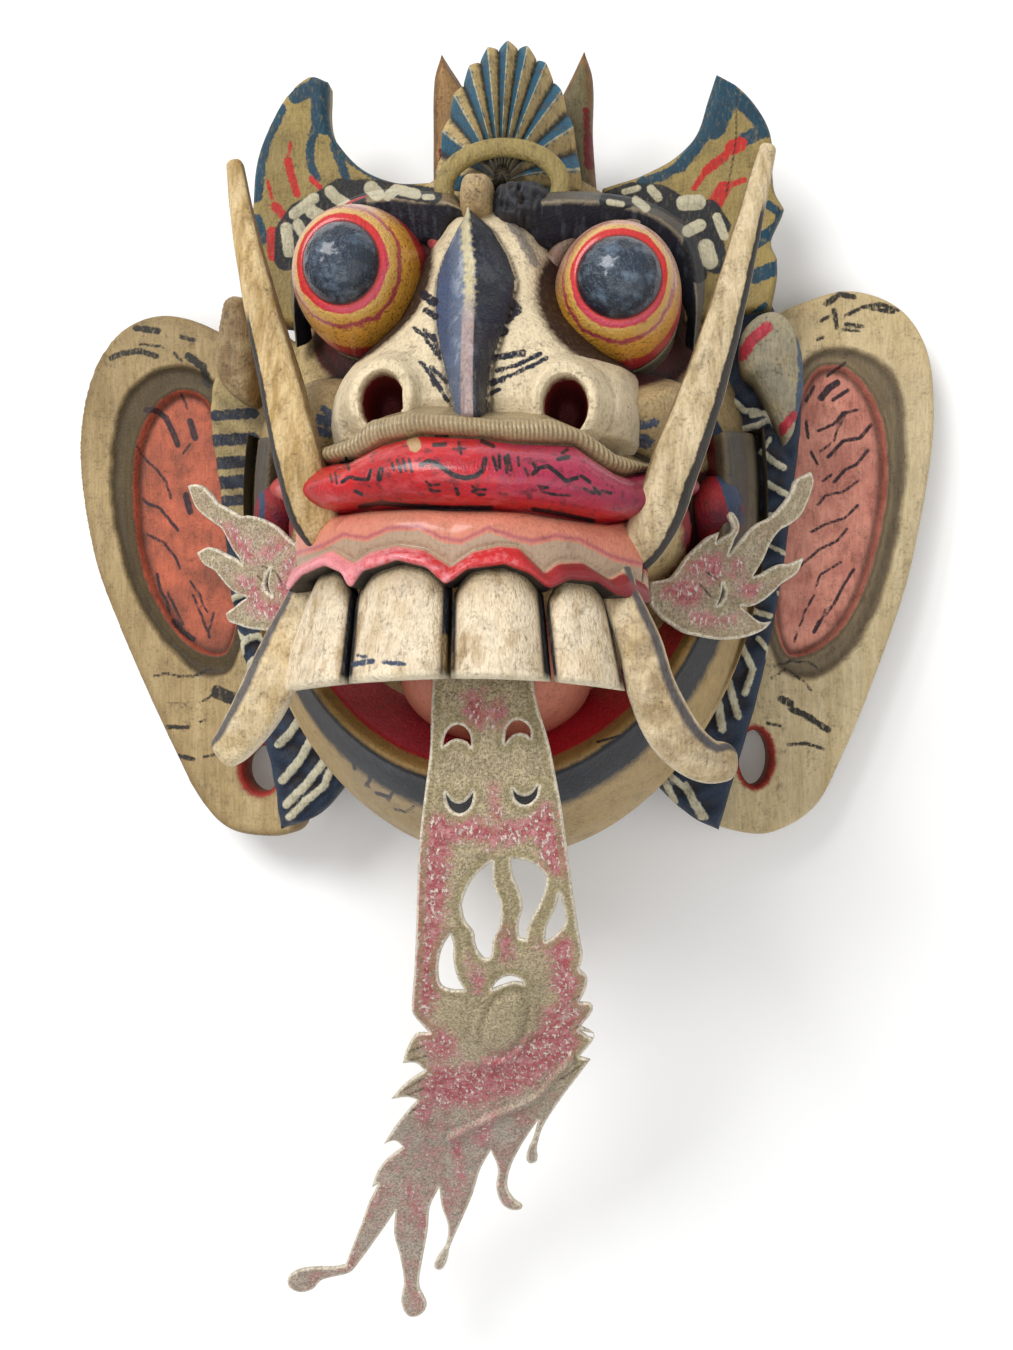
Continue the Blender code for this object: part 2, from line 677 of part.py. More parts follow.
def tongue_outline():
    edge = [(-10, 20, 1), (-10, -2), (-10, -12), (-12.5, -34), (-15.5, -57), (-19, -91), (-21.5, -109, 1), (-16, -114),
            (-25, -119, 1), (-20, -124), (-29, -132, 1), (-24, -136), (-34, -148, 1), (-28, -152), (-40, -168),
            (-48, -188), (-56, -204), (-66, -209), (-78, -214, 1), (-75, -219), (-66, -217), (-56, -211), (-44, -200),
            (-36, -190, 1), (-37, -205), (-35, -220), (-31, -232, 1), (-27, -227), (-27, -212), (-23, -188, 1),
            (-21, -200), (-22, -213, 1), (-16, -204), (-10, -190), (-4, -178, 1), (-1, -192), (6, -200),
            (10, -193, 1), (4, -184), (6, -172), (11, -166, 1), (12, -175, 1), (17, -166), (24, -150), (31, -136, 1),
            (28, -128), (34, -118, 1), (31, -108), (35, -101, 1), (33, -92), (33.5, -82, 1), (29, -57), (26, -34),
            (23, -13), (20, -3), (20, 20, 1)]
    holes = [
        [(-6, -24, 1), (-1, -19), (4, -24, 1), (-1, -22)],
        [(13, -24, 1), (18, -18), (23, -24, 1), (18, -21)],
        [(-5, -43, 1), (0, -47), (5, -43, 1), (0, -44)],
        [(15, -42, 1), (20, -46), (25, -42, 1), (20, -43)],
        [(4, -66, 1), (-3, -72), (-6, -79), (-3, -86), (1, -92), (4, -86), (5, -75)],
        [(9, -65, 1), (17, -67), (20, -73), (17, -82), (13, -88), (11, -80)],
        [(24, -76, 1), (27, -84), (26, -90), (21, -94), (22, -85)],
        [(-9, -87, 1), (-13, -94), (-14, -104), (-8, -107), (-6, -101), (-8, -94)],
        [(2, -108, 1), (8, -105), (14, -108, 1), (8, -107)],
    ]
    return [edge] + holes


def lay_along_tongue(item, lift):
    """Bends a flat board over the jaw and down, along the tongue's path."""
    bm = bmesh.new()
    bm.from_mesh(item.data)
    for near, far in zip(TONGUE_PATH, TONGUE_PATH[1:]):
        for y in (near[0], (near[0] + far[0]) / 2):
            bmesh.ops.bisect_plane(bm, geom=bm.verts[:] + bm.edges[:] + bm.faces[:], dist=0.00001,
                                   plane_co=place(0, y), plane_no=(0, 1, 0))
    for knot in bm.verts:
        y = knot.co.y * CARVED_HEIGHT / BLOCK_HEIGHT
        knot.co.z += place(0, 0, tongue_height(y)).z + lift
    bm.to_mesh(item.data)
    bm.free()
    return item


def tongue(name, group):
    item = plate(name, group, tongue_outline(), 0.0, HIDE_THICKNESS, 1)
    return lay_along_tongue(item, 0.0)


def tongue_bed(group):
    """The groove in the carved root and under the teeth that the hide tongue lies in."""
    edge = [(-16, 24, 1), (-16, -36, 1), (30, -36, 1), (30, 24, 1)]
    item = plate("tongue_bed", group, [edge], -FIT_GAP, HIDE_THICKNESS + 2 * FIT_GAP + TONGUE_HEADROOM)
    return lay_along_tongue(item, 0.0)


def ear_outlines(side):
    """The board's edge, the groove round the hollow, the hollow, and the hole in the lobe."""
    if side < 0:
        edge = [(-60, 60), (-84, 108), (-104, 127), (-127, 136), (-145, 132), (-157, 118), (-163, 97), (-163, 74),
                (-157, 43), (-148, 20), (-136, -6), (-125, -28), (-115, -46), (-104, -57), (-90, -60), (-77, -58),
                (-73, -50), (-72, -30)]
        groove = [(-109, 112), (-128, 117), (-145, 106), (-151, 82), (-149, 56), (-141, 30), (-127, 10), (-112, -1),
                  (-100, 3), (-92, 40), (-96, 90)]
        hollow = [(-112, 104), (-126, 107), (-139, 92), (-142, 68), (-138, 40), (-127, 19), (-114, 8), (-103, 9),
                  (-98, 40), (-102, 80)]
        hole = (-90, -35)
        stretch = (1.0, 1.0)
    else:
        edge = [(60, 60), (86, 112), (100, 130), (112, 136), (128, 140), (146, 134), (156, 120), (159, 100),
                (158, 80), (154, 56), (148, 30), (134, -9), (125, -30), (115, -48), (100, -57), (88, -57),
                (77, -52), (73, -30)]
        groove = [(112, 116), (130, 119), (145, 108), (149, 82), (146, 52), (138, 24), (126, 5), (112, -2), (100, 4),
                  (94, 40), (98, 90)]
        hollow = [(114, 110), (127, 112), (139, 96), (142, 72), (138, 46), (130, 24), (118, 10), (104, 8), (100, 40),
                  (104, 80)]
        hole = (93, -30)
        stretch = (0.78, 1.15)
    ring = []
    for k in range(8):
        angle = math.tau * k / 8
        ring.append((hole[0] + stretch[0] * LOBE_HOLE_WIDTH * 500 * math.cos(angle),
                     hole[1] + stretch[1] * LOBE_HOLE_HEIGHT * 500 * math.sin(angle)))
    return edge, groove, hollow, ring


def ear(name, group, cutters, side):
    """A flat ear board, hollowed in front, cut to the block's side and leaning back."""
    edge, groove, hollow, ring = ear_outlines(side)
    board = plate(name, group, [edge], -EAR_THICKNESS, EAR_THICKNESS)
    reach = EAR_THICKNESS
    helpers = [
        plate(name + "_groove", cutters, [groove], -EAR_GROOVE_DEPTH, reach),
        plate(name + "_hollow", cutters, [hollow], -EAR_HOLLOW_DEPTH, reach),
        plate(name + "_lobe_hole", cutters, [ring], -2 * reach, 4 * reach),
    ]
    inner = place(side * 66, 0).x
    lean = Matrix.Rotation(side * EAR_TILT, 4, "Y")
    stand = Matrix.Translation((inner, 0, EAR_FRONT)) @ lean @ Matrix.Translation((-inner, 0, 0))
    board.data.transform(stand)
    for helper in helpers:
        helper.data.transform(stand)
        cut(board, helper)
    cut(board, skull(name + "_seat", cutters, FIT_GAP))
    cut(board, jaw(name + "_jaw_seat", cutters, 2 * FIT_GAP))
    return board


def carve_block(finished, material):
    """Joins the masses into one block, then cuts it."""
    forms = new_collection("carved forms")
    block = skull("mask_body", finished, 0.0)
    add_masses(forms)
    add_jaw(forms)
    add_nose(forms)
    add_eyes(forms)
    add_brows(forms)
    add_lips(forms)
    add_crown(forms)
    add_fins(forms)
    add_hair(forms)
    with_all(block, forms, "UNION")
    inner = new_collection("inner cuts")
    add_hollows(inner)
    add_mouth_cuts(inner)
    with_all(block, inner, "DIFFERENCE")
    teeth = new_collection("teeth")
    ball("tongue_root", teeth, place(5, 0, 92), place(31, 22, 44), 12, 6)
    add_teeth(teeth)
    add_fangs(teeth)
    with_all(block, teeth, "UNION")
    outer = new_collection("outer cuts")
    add_nostrils(outer)
    add_slits(outer)
    for side in (-1, 1):
        tusk_shape("tusk_socket", outer, side, FIT_GAP, 8)
        flame_slot(outer, side)
    tongue_bed(outer)
    add_base_cut(outer)
    with_all(block, outer, "DIFFERENCE")
    block = settle(join_flats(block, finished), finished, material)
    for group in (forms, inner, teeth, outer):
        for item in list(group.objects):
            bpy.data.objects.remove(item, do_unlink=True)
        bpy.data.collections.remove(group)
    return block


def stand(pieces):
    """Puts the middle of the whole mask's underside at the origin."""
    corners = [piece.matrix_world @ knot.co for piece in pieces for knot in piece.data.vertices]
    low = Vector([min(spot[k] for spot in corners) for k in range(3)])
    high = Vector([max(spot[k] for spot in corners) for k in range(3)])
    middle = bpy.data.objects.new("middle of the underside", None)
    bpy.context.scene.collection.objects.link(middle)
    middle.location = (-(low.x + high.x) / 2, -(low.y + high.y) / 2, -low.z)
    for piece in pieces:
        piece.parent = middle


def main():
    clear_scene()
    finished = new_collection("demon mask")
    cutters = new_collection("cutters")
    painted = make_material("painted wood", (0.52, 0.39, 0.22), 0.55)
    board = make_material("worn ear board", (0.60, 0.46, 0.27), 0.6)
    horn = make_material("tusk wood", (0.62, 0.50, 0.33), 0.55)
    hide = make_material("painted hide", (0.36, 0.20, 0.14), 0.7)
    pieces = [carve_block(finished, painted)]
    for name, side in (("ear_left", -1), ("ear_right", 1)):
        pieces.append(settle(ear(name, finished, cutters, side), finished, board))
    for name, side in (("tusk_left", -1), ("tusk_right", 1)):
        pieces.append(settle(tusk_shape(name, finished, side, 0.0, None), finished, horn))
    pieces.append(settle(tongue("tongue", finished), finished, hide))
    for name, side in (("flame_left", -1), ("flame_right", 1)):
        pieces.append(settle(flame(name, finished, side), finished, hide))
    for item in list(cutters.objects):
        bpy.data.objects.remove(item, do_unlink=True)
    bpy.data.collections.remove(cutters)
    stand(pieces)


main()
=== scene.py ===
import math

import bpy
import numpy as np
from mathutils.geometry import delaunay_2d_cdt
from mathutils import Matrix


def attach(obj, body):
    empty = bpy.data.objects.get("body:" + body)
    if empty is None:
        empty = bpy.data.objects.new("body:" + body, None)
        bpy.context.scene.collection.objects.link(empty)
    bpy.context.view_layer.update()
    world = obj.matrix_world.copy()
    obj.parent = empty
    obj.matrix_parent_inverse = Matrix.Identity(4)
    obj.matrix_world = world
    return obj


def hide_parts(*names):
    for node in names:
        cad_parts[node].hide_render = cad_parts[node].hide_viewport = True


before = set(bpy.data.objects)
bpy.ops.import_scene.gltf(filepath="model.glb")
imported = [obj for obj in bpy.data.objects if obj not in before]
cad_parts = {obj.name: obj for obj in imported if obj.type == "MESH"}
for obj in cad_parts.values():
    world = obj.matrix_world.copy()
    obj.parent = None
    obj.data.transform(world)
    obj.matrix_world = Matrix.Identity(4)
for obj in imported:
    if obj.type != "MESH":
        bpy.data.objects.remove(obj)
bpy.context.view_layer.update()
bpy.context.scene.view_settings.view_transform = "Standard"
print("frame loaded")

# Everything is drawn in millimetres about the middle of the face, then moved by drawing["shift"] into the row frame.
drawing = {"shift": (2.376, 5.0, 0.0), "grid": 0.55}
perMm = 3.25  # steps of the view to a millimetre of the face
clear = -6.0  # the mark of a place well outside every stroke

camera = {"distance": 600.0, "turn": 5.0, "focal": 1562.0, "middle": (506.5, 675.0), "high": 1350}


def seen(points):
    # where a point shows in the 1013 x 1350 view: its sideways and upward share of its depth, times the focal length
    turn = math.radians(camera["turn"])
    right = np.array([math.cos(turn), 0.0, -math.sin(turn)])
    back = np.array([math.sin(turn), 0.0, math.cos(turn)])
    away = points - camera["distance"] * back
    depth = -(away @ back)
    across = camera["middle"][0] + camera["focal"] * (away @ right) / depth
    down = camera["middle"][1] - camera["focal"] * away[:, 1] / depth
    return np.stack([across, down], 1)


paints = {
    "cream": "dccaa8", "tan": "b89e74", "brown": "6b4d2c", "rawWood": "8a6a43", "deepRed": "5e1015",
    "salmon": "cf8069", "olive": "8d7c4b", "fleck": "efe0d2", "greyPink": "a98e86", "pebble": "bfb79b",
    "ink": "2b3038", "moss": "5f573d"}


def tint(tone):
    # a paint's name, or a screen colour such as "c9b48a", as the linear colour a shader takes
    code = paints.get(tone, tone)
    parts = [int(code[k:k + 2], 16) / 255 for k in (0, 2, 4)]
    return tuple(p / 12.92 if p < 0.04045 else ((p + 0.055) / 1.055) ** 2.4 for p in parts) + (1.0,)


# Shader tools

class Link:  # a socket that can be used in sums
    def __init__(self, finish, socket):
        self.finish = finish
        self.socket = socket

    def __add__(self, other):
        return self.finish.sum("ADD", self, other)

    def __radd__(self, other):
        return self.finish.sum("ADD", other, self)

    def __sub__(self, other):
        return self.finish.sum("SUBTRACT", self, other)

    def __rsub__(self, other):
        return self.finish.sum("SUBTRACT", other, self)

    def __mul__(self, other):
        return self.finish.sum("MULTIPLY", self, other)

    def __rmul__(self, other):
        return self.finish.sum("MULTIPLY", other, self)

    def __abs__(self):
        return self.finish.sum("ABSOLUTE", self, 0.0)

    def clip(self):
        return self.finish.add("ShaderNodeMath", {"operation": "ADD", "use_clamp": True}, {0: self, 1: 0.0})


class Finish:  # one material with its nodes
    def __init__(self, name):
        self.material = bpy.data.materials.new(name)
        self.material.use_nodes = True
        self.nodes = self.material.node_tree.nodes
        self.nodes.clear()
        self.place = self.add("ShaderNodeTexCoord", out="Object")

    def add(self, kind, settings=None, sockets=None, out=0):
        # one node, whose sockets take numbers, links or the codes of screen colours
        node = self.nodes.new(kind)
        for key, value in (settings or {}).items():
            setattr(node, key, value)
        for key, value in (sockets or {}).items():
            if isinstance(value, Link):
                self.material.node_tree.links.new(value.socket, node.inputs[key])
            else:
                node.inputs[key].default_value = tint(value) if isinstance(value, str) else value
        return Link(self, node.outputs[out])

    def sum(self, operation, first, second):
        return self.add("ShaderNodeMath", {"operation": operation}, {0: first, 1: second})

    def mark(self, name):
        return self.add("ShaderNodeAttribute", {"attribute_name": name}, out="Fac")

    def noise(self, scale, detail=3.0, rough=0.55, stretch=None):
        where = self.place
        if stretch:
            where = self.add("ShaderNodeMapping", sockets={"Vector": where, "Scale": stretch})
        return self.add("ShaderNodeTexNoise", sockets={"Vector": where, "Scale": scale, "Detail": detail,
                                                       "Roughness": rough})

    def spots(self, level, gain, *noise):
        # where a noise is above a level, sharpened
        return ((self.noise(*noise) - level) * gain).clip()

    def mix(self, factor, first, second, blend="MIX"):
        return self.add("ShaderNodeMix", {"data_type": "RGBA", "blend_type": blend, "clamp_factor": True},
                        {0: factor, 6: first, 7: second}, 2)

    def over(self, colour, *layers):
        # coats laid over a colour in order, each an amount and a tone
        for amount, *tone in layers:
            colour = self.mix(amount, colour, *tone)
        return colour

    def brush(self, colour, *strokes):
        # strokes painted over a colour in order: a mark in millimetres inside the stroke, the tone, how ragged, how
        # dry and how soft; the mark is roughened and the stroke has bare places
        for mark, tone, ragged, dry, *soft in strokes:
            field = self.mark(mark) + (self.noise(620.0, 4.0, 0.6) - 0.5) * ragged * 2.0
            bare = self.spots(0.54, 6.0, 900.0, 3.0, 0.6, (1.0, 0.35, 1.0)) * dry
            edge = (field * (soft[0] if soft else 2.4) + 0.5).clip()
            colour = self.mix(edge * (1.0 - bare), colour, tone)
        return colour

    def ramp(self, value, stops):
        found = self.add("ShaderNodeValToRGB", sockets={0: value})
        elements = found.socket.node.color_ramp.elements
        while len(elements) < len(stops):
            elements.new(0.5)
        for element, (place, tone) in zip(elements, stops):
            element.position = place
            element.color = tint(tone)
        return found

    def close(self, colour, rough, height, depth=0.0004, coat=0.0, coatRough=0.25):
        normal = self.add("ShaderNodeBump", sockets={"Height": height, "Distance": depth, "Strength": 1.0})
        shader = self.add("ShaderNodeBsdfPrincipled", sockets={
            "Base Color": colour, "Roughness": rough, "Normal": normal, "Coat Weight": coat,
            "Coat Roughness": coatRough, "Specular IOR Level": 0.3})
        end = self.nodes.new("ShaderNodeOutputMaterial")
        self.material.node_tree.links.new(shader.socket, end.inputs["Surface"])
        return self.material

    def worn(self, colour, much=1.0, gloss=0.0, rise=0.0, depth=0.0004, coat=0.0, coatRough=0.25, dirt="3c3026"):
        # the material closed under an aged skin with painted shade, glossier and raised by as much as is given
        colour, rough, height = agedAndShaded(self, colour, much, dirt)
        return self.close(colour, rough - gloss, height + rise, depth, coat, coatRough)


def agedAndShaded(finish, colour, much=1.0, dirt="3c3026", pale="fff6e6"):
    # paint gone soft and grubby: broad stains, brush hairs, open pores, and grime and painted shade in hollows
    stain, patch = finish.noise(42.0, 4.0, 0.6), finish.noise(190.0, 5.0, 0.62)
    hairs, pores = finish.noise(1300.0, 3.0, 0.6, (1.0, 0.16, 1.0)), finish.noise(1000.0, 2.0, 0.5)
    hollow = finish.mark("hollow")
    colour = finish.over(
        colour, (((stain - 0.44) * 2.4).clip() * 0.42 * much, dirt),
        (((hairs - 0.5) * 3.2).clip() * 0.5 * much, pale, "SOFT_LIGHT"),
        (((0.47 - hairs) * 4.0).clip() * 0.45 * much, dirt), (((patch - 0.55) * 5.0).clip() * 0.45 * much, dirt),
        (((pores - 0.52) * 9).clip() * ((patch - 0.40) * 4).clip() * 0.5 * much, dirt),
        # painted shade: hollows and creases of the carving are darkened, partly as grime and partly as shade
        ((hollow * -1.6).clip() * 0.9 * much, "241810"),
        ((hollow * 0.7).clip() * 0.4 * much, pale, "SOFT_LIGHT"))
    return colour, 0.5 + patch * 0.3 - hairs * 0.12, hairs * 0.5 + patch * 0.35 + ((pores - 0.45) * 4.0).clip() * 0.3


# Mesh tools

def circle(count):
    # angles evenly round, from zero
    return np.linspace(0, 2 * math.pi, count, endpoint=False)


def places(x, y, z):
    # points from three coordinates, each a number or a grid
    return np.stack(np.broadcast_arrays(x, y, z), -1)


def squareRing(a, power):
    # how far a rounded square reaches at each angle
    return (np.abs(np.cos(a)) ** power + np.abs(np.sin(a)) ** power) ** (-1 / power)


def gridFaces(rows, columns, wrap=False):
    # the four corners of every cell of a grid of points, row by row
    across = np.arange(columns if wrap else columns - 1)
    down = np.arange(rows - 1)
    a = (down[:, None] * columns + across[None, :]).ravel()
    b = (down[:, None] * columns + (across[None, :] + 1) % columns).ravel()
    return np.stack([a, b, b + columns, a + columns], 1)


def volume(points, faceSets):
    # six times what the faces shut in, below zero when they face inwards
    total = 0.0
    for faces in faceSets:
        for k in range(1, faces.shape[1] - 1):
            a, b, c = points[faces[:, 0]], points[faces[:, k]], points[faces[:, k + 1]]
            total += np.einsum("ij,ij->i", a, np.cross(b, c)).sum()
    return total


def hollowOf(points, faceSets):
    # how far each point stands out from the mean of its neighbourhood: below zero in a crease, above it on an edge
    count = len(points)
    small = [faces for faces in faceSets if faces.shape[1] < 6]
    ends = np.concatenate([np.stack([faces[:, k - 1], faces[:, k]], 1) for faces in small
                           for k in range(faces.shape[1])])
    a, b = ends[:, 0], ends[:, 1]
    times = np.maximum(np.bincount(a, minlength=count) + np.bincount(b, minlength=count), 1)[:, None]
    soft = points
    for _ in range(10):
        near = np.stack([np.bincount(a, soft[b, k], count) + np.bincount(b, soft[a, k], count) for k in range(3)], 1)
        soft = 0.5 * soft + 0.5 * near / times
    normal = np.zeros_like(points)
    for faces in small:
        flat = np.cross(points[faces[:, 1]] - points[faces[:, 0]], points[faces[:, 2]] - points[faces[:, 0]])
        for k in range(faces.shape[1]):
            normal += np.stack([np.bincount(faces[:, k], flat[:, n], count) for n in range(3)], 1)
    normal /= np.maximum(np.linalg.norm(normal, axis=1), 1e-9)[:, None]
    return np.clip(((points - soft) * normal).sum(1), -2, 2)


def makePiece(name, points, faceSets, material, marks=None, stands=("mask_body",), slot="painted_wood", inWood=True):
    # one closed mesh from points in drawing millimetres and arrays of corner numbers, kept out of the hollow
    if inWood:
        points = points.copy()
        points[:, 2] = np.maximum(points[:, 2], hollowTop(points[:, 0], points[:, 1]) + 3)
    faceSets = [np.asarray(faces) for faces in faceSets if len(faces)]
    if volume(points - points.mean(0), faceSets) < 0:
        faceSets = [faces[:, ::-1] for faces in faceSets]
    corners = np.concatenate([faces.ravel() for faces in faceSets])
    sizes = np.concatenate([np.full(len(faces), faces.shape[1]) for faces in faceSets])
    starts = np.concatenate([[0], np.cumsum(sizes)[:-1]])
    mesh = bpy.data.meshes.new(name)
    mesh.vertices.add(len(points))
    mesh.vertices.foreach_set("co", ((points + drawing["shift"]) * 0.001).astype(np.float32).ravel())
    mesh.loops.add(len(corners))
    mesh.loops.foreach_set("vertex_index", corners.astype(np.int32))
    mesh.polygons.add(len(starts))
    mesh.polygons.foreach_set("loop_start", starts.astype(np.int32))
    mesh.update(calc_edges=True)
    mesh.shade_smooth()
    marks = dict(marks or {})
    # how hollow each point is, for the darkening of creases as grime and painted shade
    marks["hollow"] = hollowOf(points, faceSets)
    for mark, values in marks.items():
        mesh.attributes.new(mark, "FLOAT", "POINT").data.foreach_set("value", np.asarray(values, np.float32))
    mesh.materials.append(material)
    piece = bpy.data.objects.new(name, mesh)
    bpy.context.scene.collection.objects.link(piece)
    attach(piece, "root")
    if stands:
        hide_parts(*stands)
    print("made", name, len(points), "points")
    return piece


def lineGap(spots, start, stop):
    # distance from each spot to a straight line between two places
    along = stop - start
    share = np.clip(((spots - start) @ along) / max(along @ along, 1e-9), 0, 1)
    return np.linalg.norm(spots - start - share[:, None] * along, axis=1)


def painted(points, strokes):
    # millimetres that each point shows inside the nearest stroke. A stroke is half its width in millimetres, then the
    # places that its line passes, measured in the 1013 x 1350 view
    spots = seen(points)
    best = np.full(len(spots), clear)
    for half, *line in strokes:
        line = np.reshape(line, (-1, 2)).astype(float)
        for start, stop in zip(line[:-1], line[1:]):
            best = np.maximum(best, (half * perMm - lineGap(spots, start, stop)) * (1 / perMm))
    return best


def below(points, line):
    # millimetres that each point shows under a line drawn across the view
    spots = seen(points)
    xs, ys = np.array(line, float).T
    return (spots[:, 1] - np.interp(spots[:, 0], xs, ys)) / perMm


def insideLoop(spots, loop):
    # true where a line to the right of the spot crosses the closed loop an odd number of times
    inside = np.zeros(len(spots), bool)
    x, y = spots[:, 0], spots[:, 1]
    for (ax, ay), (bx, by) in zip(loop, np.roll(loop, -1, 0)):
        if ay == by:
            continue
        crosses = (ay > y) != (by > y)
        inside ^= crosses & (x < (bx - ax) * (y - ay) / (by - ay) + ax)
    return inside


def loopDistance(spots, loops):
    # distance to the nearest edge of any closed loop
    best = np.full(len(spots), 1e9)
    for loop in loops:
        for start, stop in zip(loop, np.roll(loop, -1, 0)):
            best = np.minimum(best, lineGap(spots, start, stop))
    return best


def smoothLoop(knots, step):
    # a closed curve through the knots: each span is a cubic whose end slopes follow its neighbours, or the span
    # itself at a knot with a third value, which is a sharp tip
    spots = np.array([knot[:2] for knot in knots], float)
    sharp = [len(knot) > 2 for knot in knots]
    count = len(spots)
    found = []
    for k in range(count):
        a, b = spots[k], spots[(k + 1) % count]
        span = np.linalg.norm(b - a)
        ways = []
        for tip, way in ((sharp[k], b - spots[k - 1]), (sharp[(k + 1) % count], spots[(k + 2) % count] - a)):
            way = (b - a) if tip else way
            ways.append(way / max(np.linalg.norm(way), 1e-9) * span)
        t = np.linspace(0, 1, max(2, int(span / step) + 1))[:-1, None]
        found.append((2 * t**3 - 3 * t**2 + 1) * a + (t**3 - 2 * t**2 + t) * ways[0]
                     + (3 * t**2 - 2 * t**3) * b + (t**3 - t**2) * ways[1])
    return np.concatenate(found)


def between(p, q, r, s, t):
    # a place on the smooth curve from q to r whose neighbours are p and s
    return 0.5 * (2 * q + (r - p) * t + (2 * p - 5 * q + 4 * r - s) * t**2 + (3 * q - p - 3 * r + s) * t**3)


def roundLoop(corners, share):
    # smooth closed curves through corners on the last axis but one, read at shares of their count
    count = corners.shape[-2]
    k = share.astype(int)
    return between(*(corners[..., (k + n) % count, :] for n in (-1, 0, 1, 2)), (share - k)[:, None])


def smoothPath(knots, count):
    # an even curve through points in space, with so many places along it
    knots = np.array(knots, float)
    ends = np.vstack([2 * knots[0] - knots[1], knots, 2 * knots[-1] - knots[-2]])
    t = np.linspace(0, 1, 24, endpoint=False)[:, None]
    fine = np.vstack([between(*ends[k - 1:k + 3], t) for k in range(1, len(ends) - 2)] + [knots[-1:]])
    run = np.concatenate([[0], np.cumsum(np.linalg.norm(np.diff(fine, axis=0), axis=1))])
    even = np.linspace(0, run[-1], count)
    return np.stack([np.interp(even, run, fine[:, k]) for k in range(fine.shape[1])], 1)


def softMax(a, b, reach):
    # the higher of two heights, with the crease between them rounded over the reach
    near = np.maximum(reach - np.abs(a - b), 0) / reach
    return np.maximum(a, b) + near**2 * reach / 4


def bulge(x, y, centre, radii):
    # height of an egg's upper side over each place, and far below where it is not
    inside = 1 - ((x - centre[0]) / radii[0]) ** 2 - ((y - centre[1]) / radii[1]) ** 2
    return np.where(inside > 0, centre[2] + radii[2] * np.sqrt(np.maximum(inside, 0)), -60.0)


def hollowTop(x, y):
    # how high the wearer's hollow reaches behind each place, and far down where there is none
    return np.maximum(bulge(x, y, (*block["centre"], 0), block["hollow"]), bulge(x, y, *block["mouth"]))


def tube(name, grid, material, ends=None, marks=None, marksOf=None, **rest):
    # a skin of rings of points, shut by a point at either end; a mark is its grid and its values at the two ends
    rows, around = grid.shape[:2]
    points = np.vstack([grid.reshape(-1, 3), [grid[0].mean(0), grid[-1].mean(0)] if ends is None else ends])
    first, count = np.arange(around), len(points)
    last = first + (rows - 1) * around
    sets = [gridFaces(rows, around, wrap=True), np.stack([np.roll(first, -1), first, np.full(around, count - 2)], 1),
            np.stack([last, np.roll(last, -1), np.full(around, count - 1)], 1)]
    found = {mark: np.append(np.broadcast_to(values, (rows, around)), ends)
             for mark, (values, ends) in (marks or {}).items()}
    if marksOf:
        found.update(marksOf(points, found))
    return makePiece(name, points, sets, material, found, **rest)


def sweep(name, path, sectionOf, around, material, marksOf=None, **rest):
    # a section carried along a path: each ring lies square to the path, its two axes sideways and up
    ahead = np.roll(path, -1, 0) - np.roll(path, 1, 0)
    ahead[0], ahead[-1] = path[1] - path[0], path[-1] - path[-2]
    ahead /= np.linalg.norm(ahead, axis=1)[:, None]
    side = np.cross(ahead, (0, 0, 1.0))
    side /= np.linalg.norm(side, axis=1)[:, None]
    up = np.cross(side, ahead)
    angle = circle(around)[None, :]
    sideways, upwards = sectionOf(np.linspace(0, 1, len(path))[:, None], angle)
    grid = path[:, None, :] + sideways[..., None] * side[:, None, :] + upwards[..., None] * up[:, None, :]
    return tube(name, grid, material, path[[0, -1]], {"around": (angle, (0, 0))}, marksOf, **rest)


def onFront(values):
    # a mark kept on a board's front points, which come first
    values = values.copy()
    values[len(values) // 2:] = clear
    return values


def board(name, knots, step, frontOf, backOf, material, strokes, marksOf=None, layOf=None, holes=(), spacing=None,
          **rest):
    # a flat piece cut to an outline: even points inside the edge are joined into triangles for the front and the
    # back, each at its own height, with a wall between them round every edge
    edge = smoothLoop(knots, step)
    loops = [edge] + list(holes)
    low, high = edge.min(0), edge.max(0)
    ys = np.arange(low[1], high[1], spacing * 0.87)
    x, y = np.meshgrid(np.arange(low[0], high[0], spacing), ys)
    x = x + (np.arange(len(ys)) % 2 * spacing / 2)[:, None]

    def inside(spots):
        found = insideLoop(spots, edge)
        for hole in holes:
            found &= ~insideLoop(spots, hole)
        return found

    inner = np.stack([x.ravel(), y.ravel()], 1)
    inner = inner[inside(inner)]
    inner = inner[loopDistance(inner, loops) > spacing * 0.45]
    links, start = [], 0
    for loop in loops:
        run = np.arange(start, start + len(loop))
        links += list(zip(run.tolist(), np.roll(run, -1).tolist()))
        start += len(loop)
    joined = delaunay_2d_cdt([tuple(spot) for spot in np.vstack(loops + [inner]).tolist()], links, [], 0, 1e-5)
    flat = np.array([tuple(v) for v in joined[0]])
    faces = np.array([face for face in joined[2] if len(face) == 3])
    faces = faces[inside(flat[faces].mean(1))]
    used, index = np.unique(faces.ravel(), return_inverse=True)
    flat, faces = flat[used], index.reshape(faces.shape)
    count, gap = len(flat), loopDistance(flat, loops)
    points = np.vstack([np.column_stack([flat, heightOf(*flat.T, gap)]) for heightOf in (frontOf, backOf)])
    sides = np.concatenate([faces[:, [0, 1]], faces[:, [1, 2]], faces[:, [2, 0]]])
    key = np.sort(sides, 1) @ np.array([count, 1])
    _, first, times = np.unique(key, return_index=True, return_counts=True)
    rim = sides[first[times == 1]]
    walls = np.stack([rim[:, 1], rim[:, 0], rim[:, 0] + count, rim[:, 1] + count], 1)
    laid = layOf(points) if layOf else points
    marks = {mark: onFront(painted(laid, lines)) for mark, lines in strokes.items()}
    marks["edge"] = np.concatenate([gap, gap])
    if marksOf:
        marks.update(marksOf(points, marks["edge"]))
    return makePiece(name, laid, [faces, faces[:, ::-1] + count, walls], material, marks, **rest)


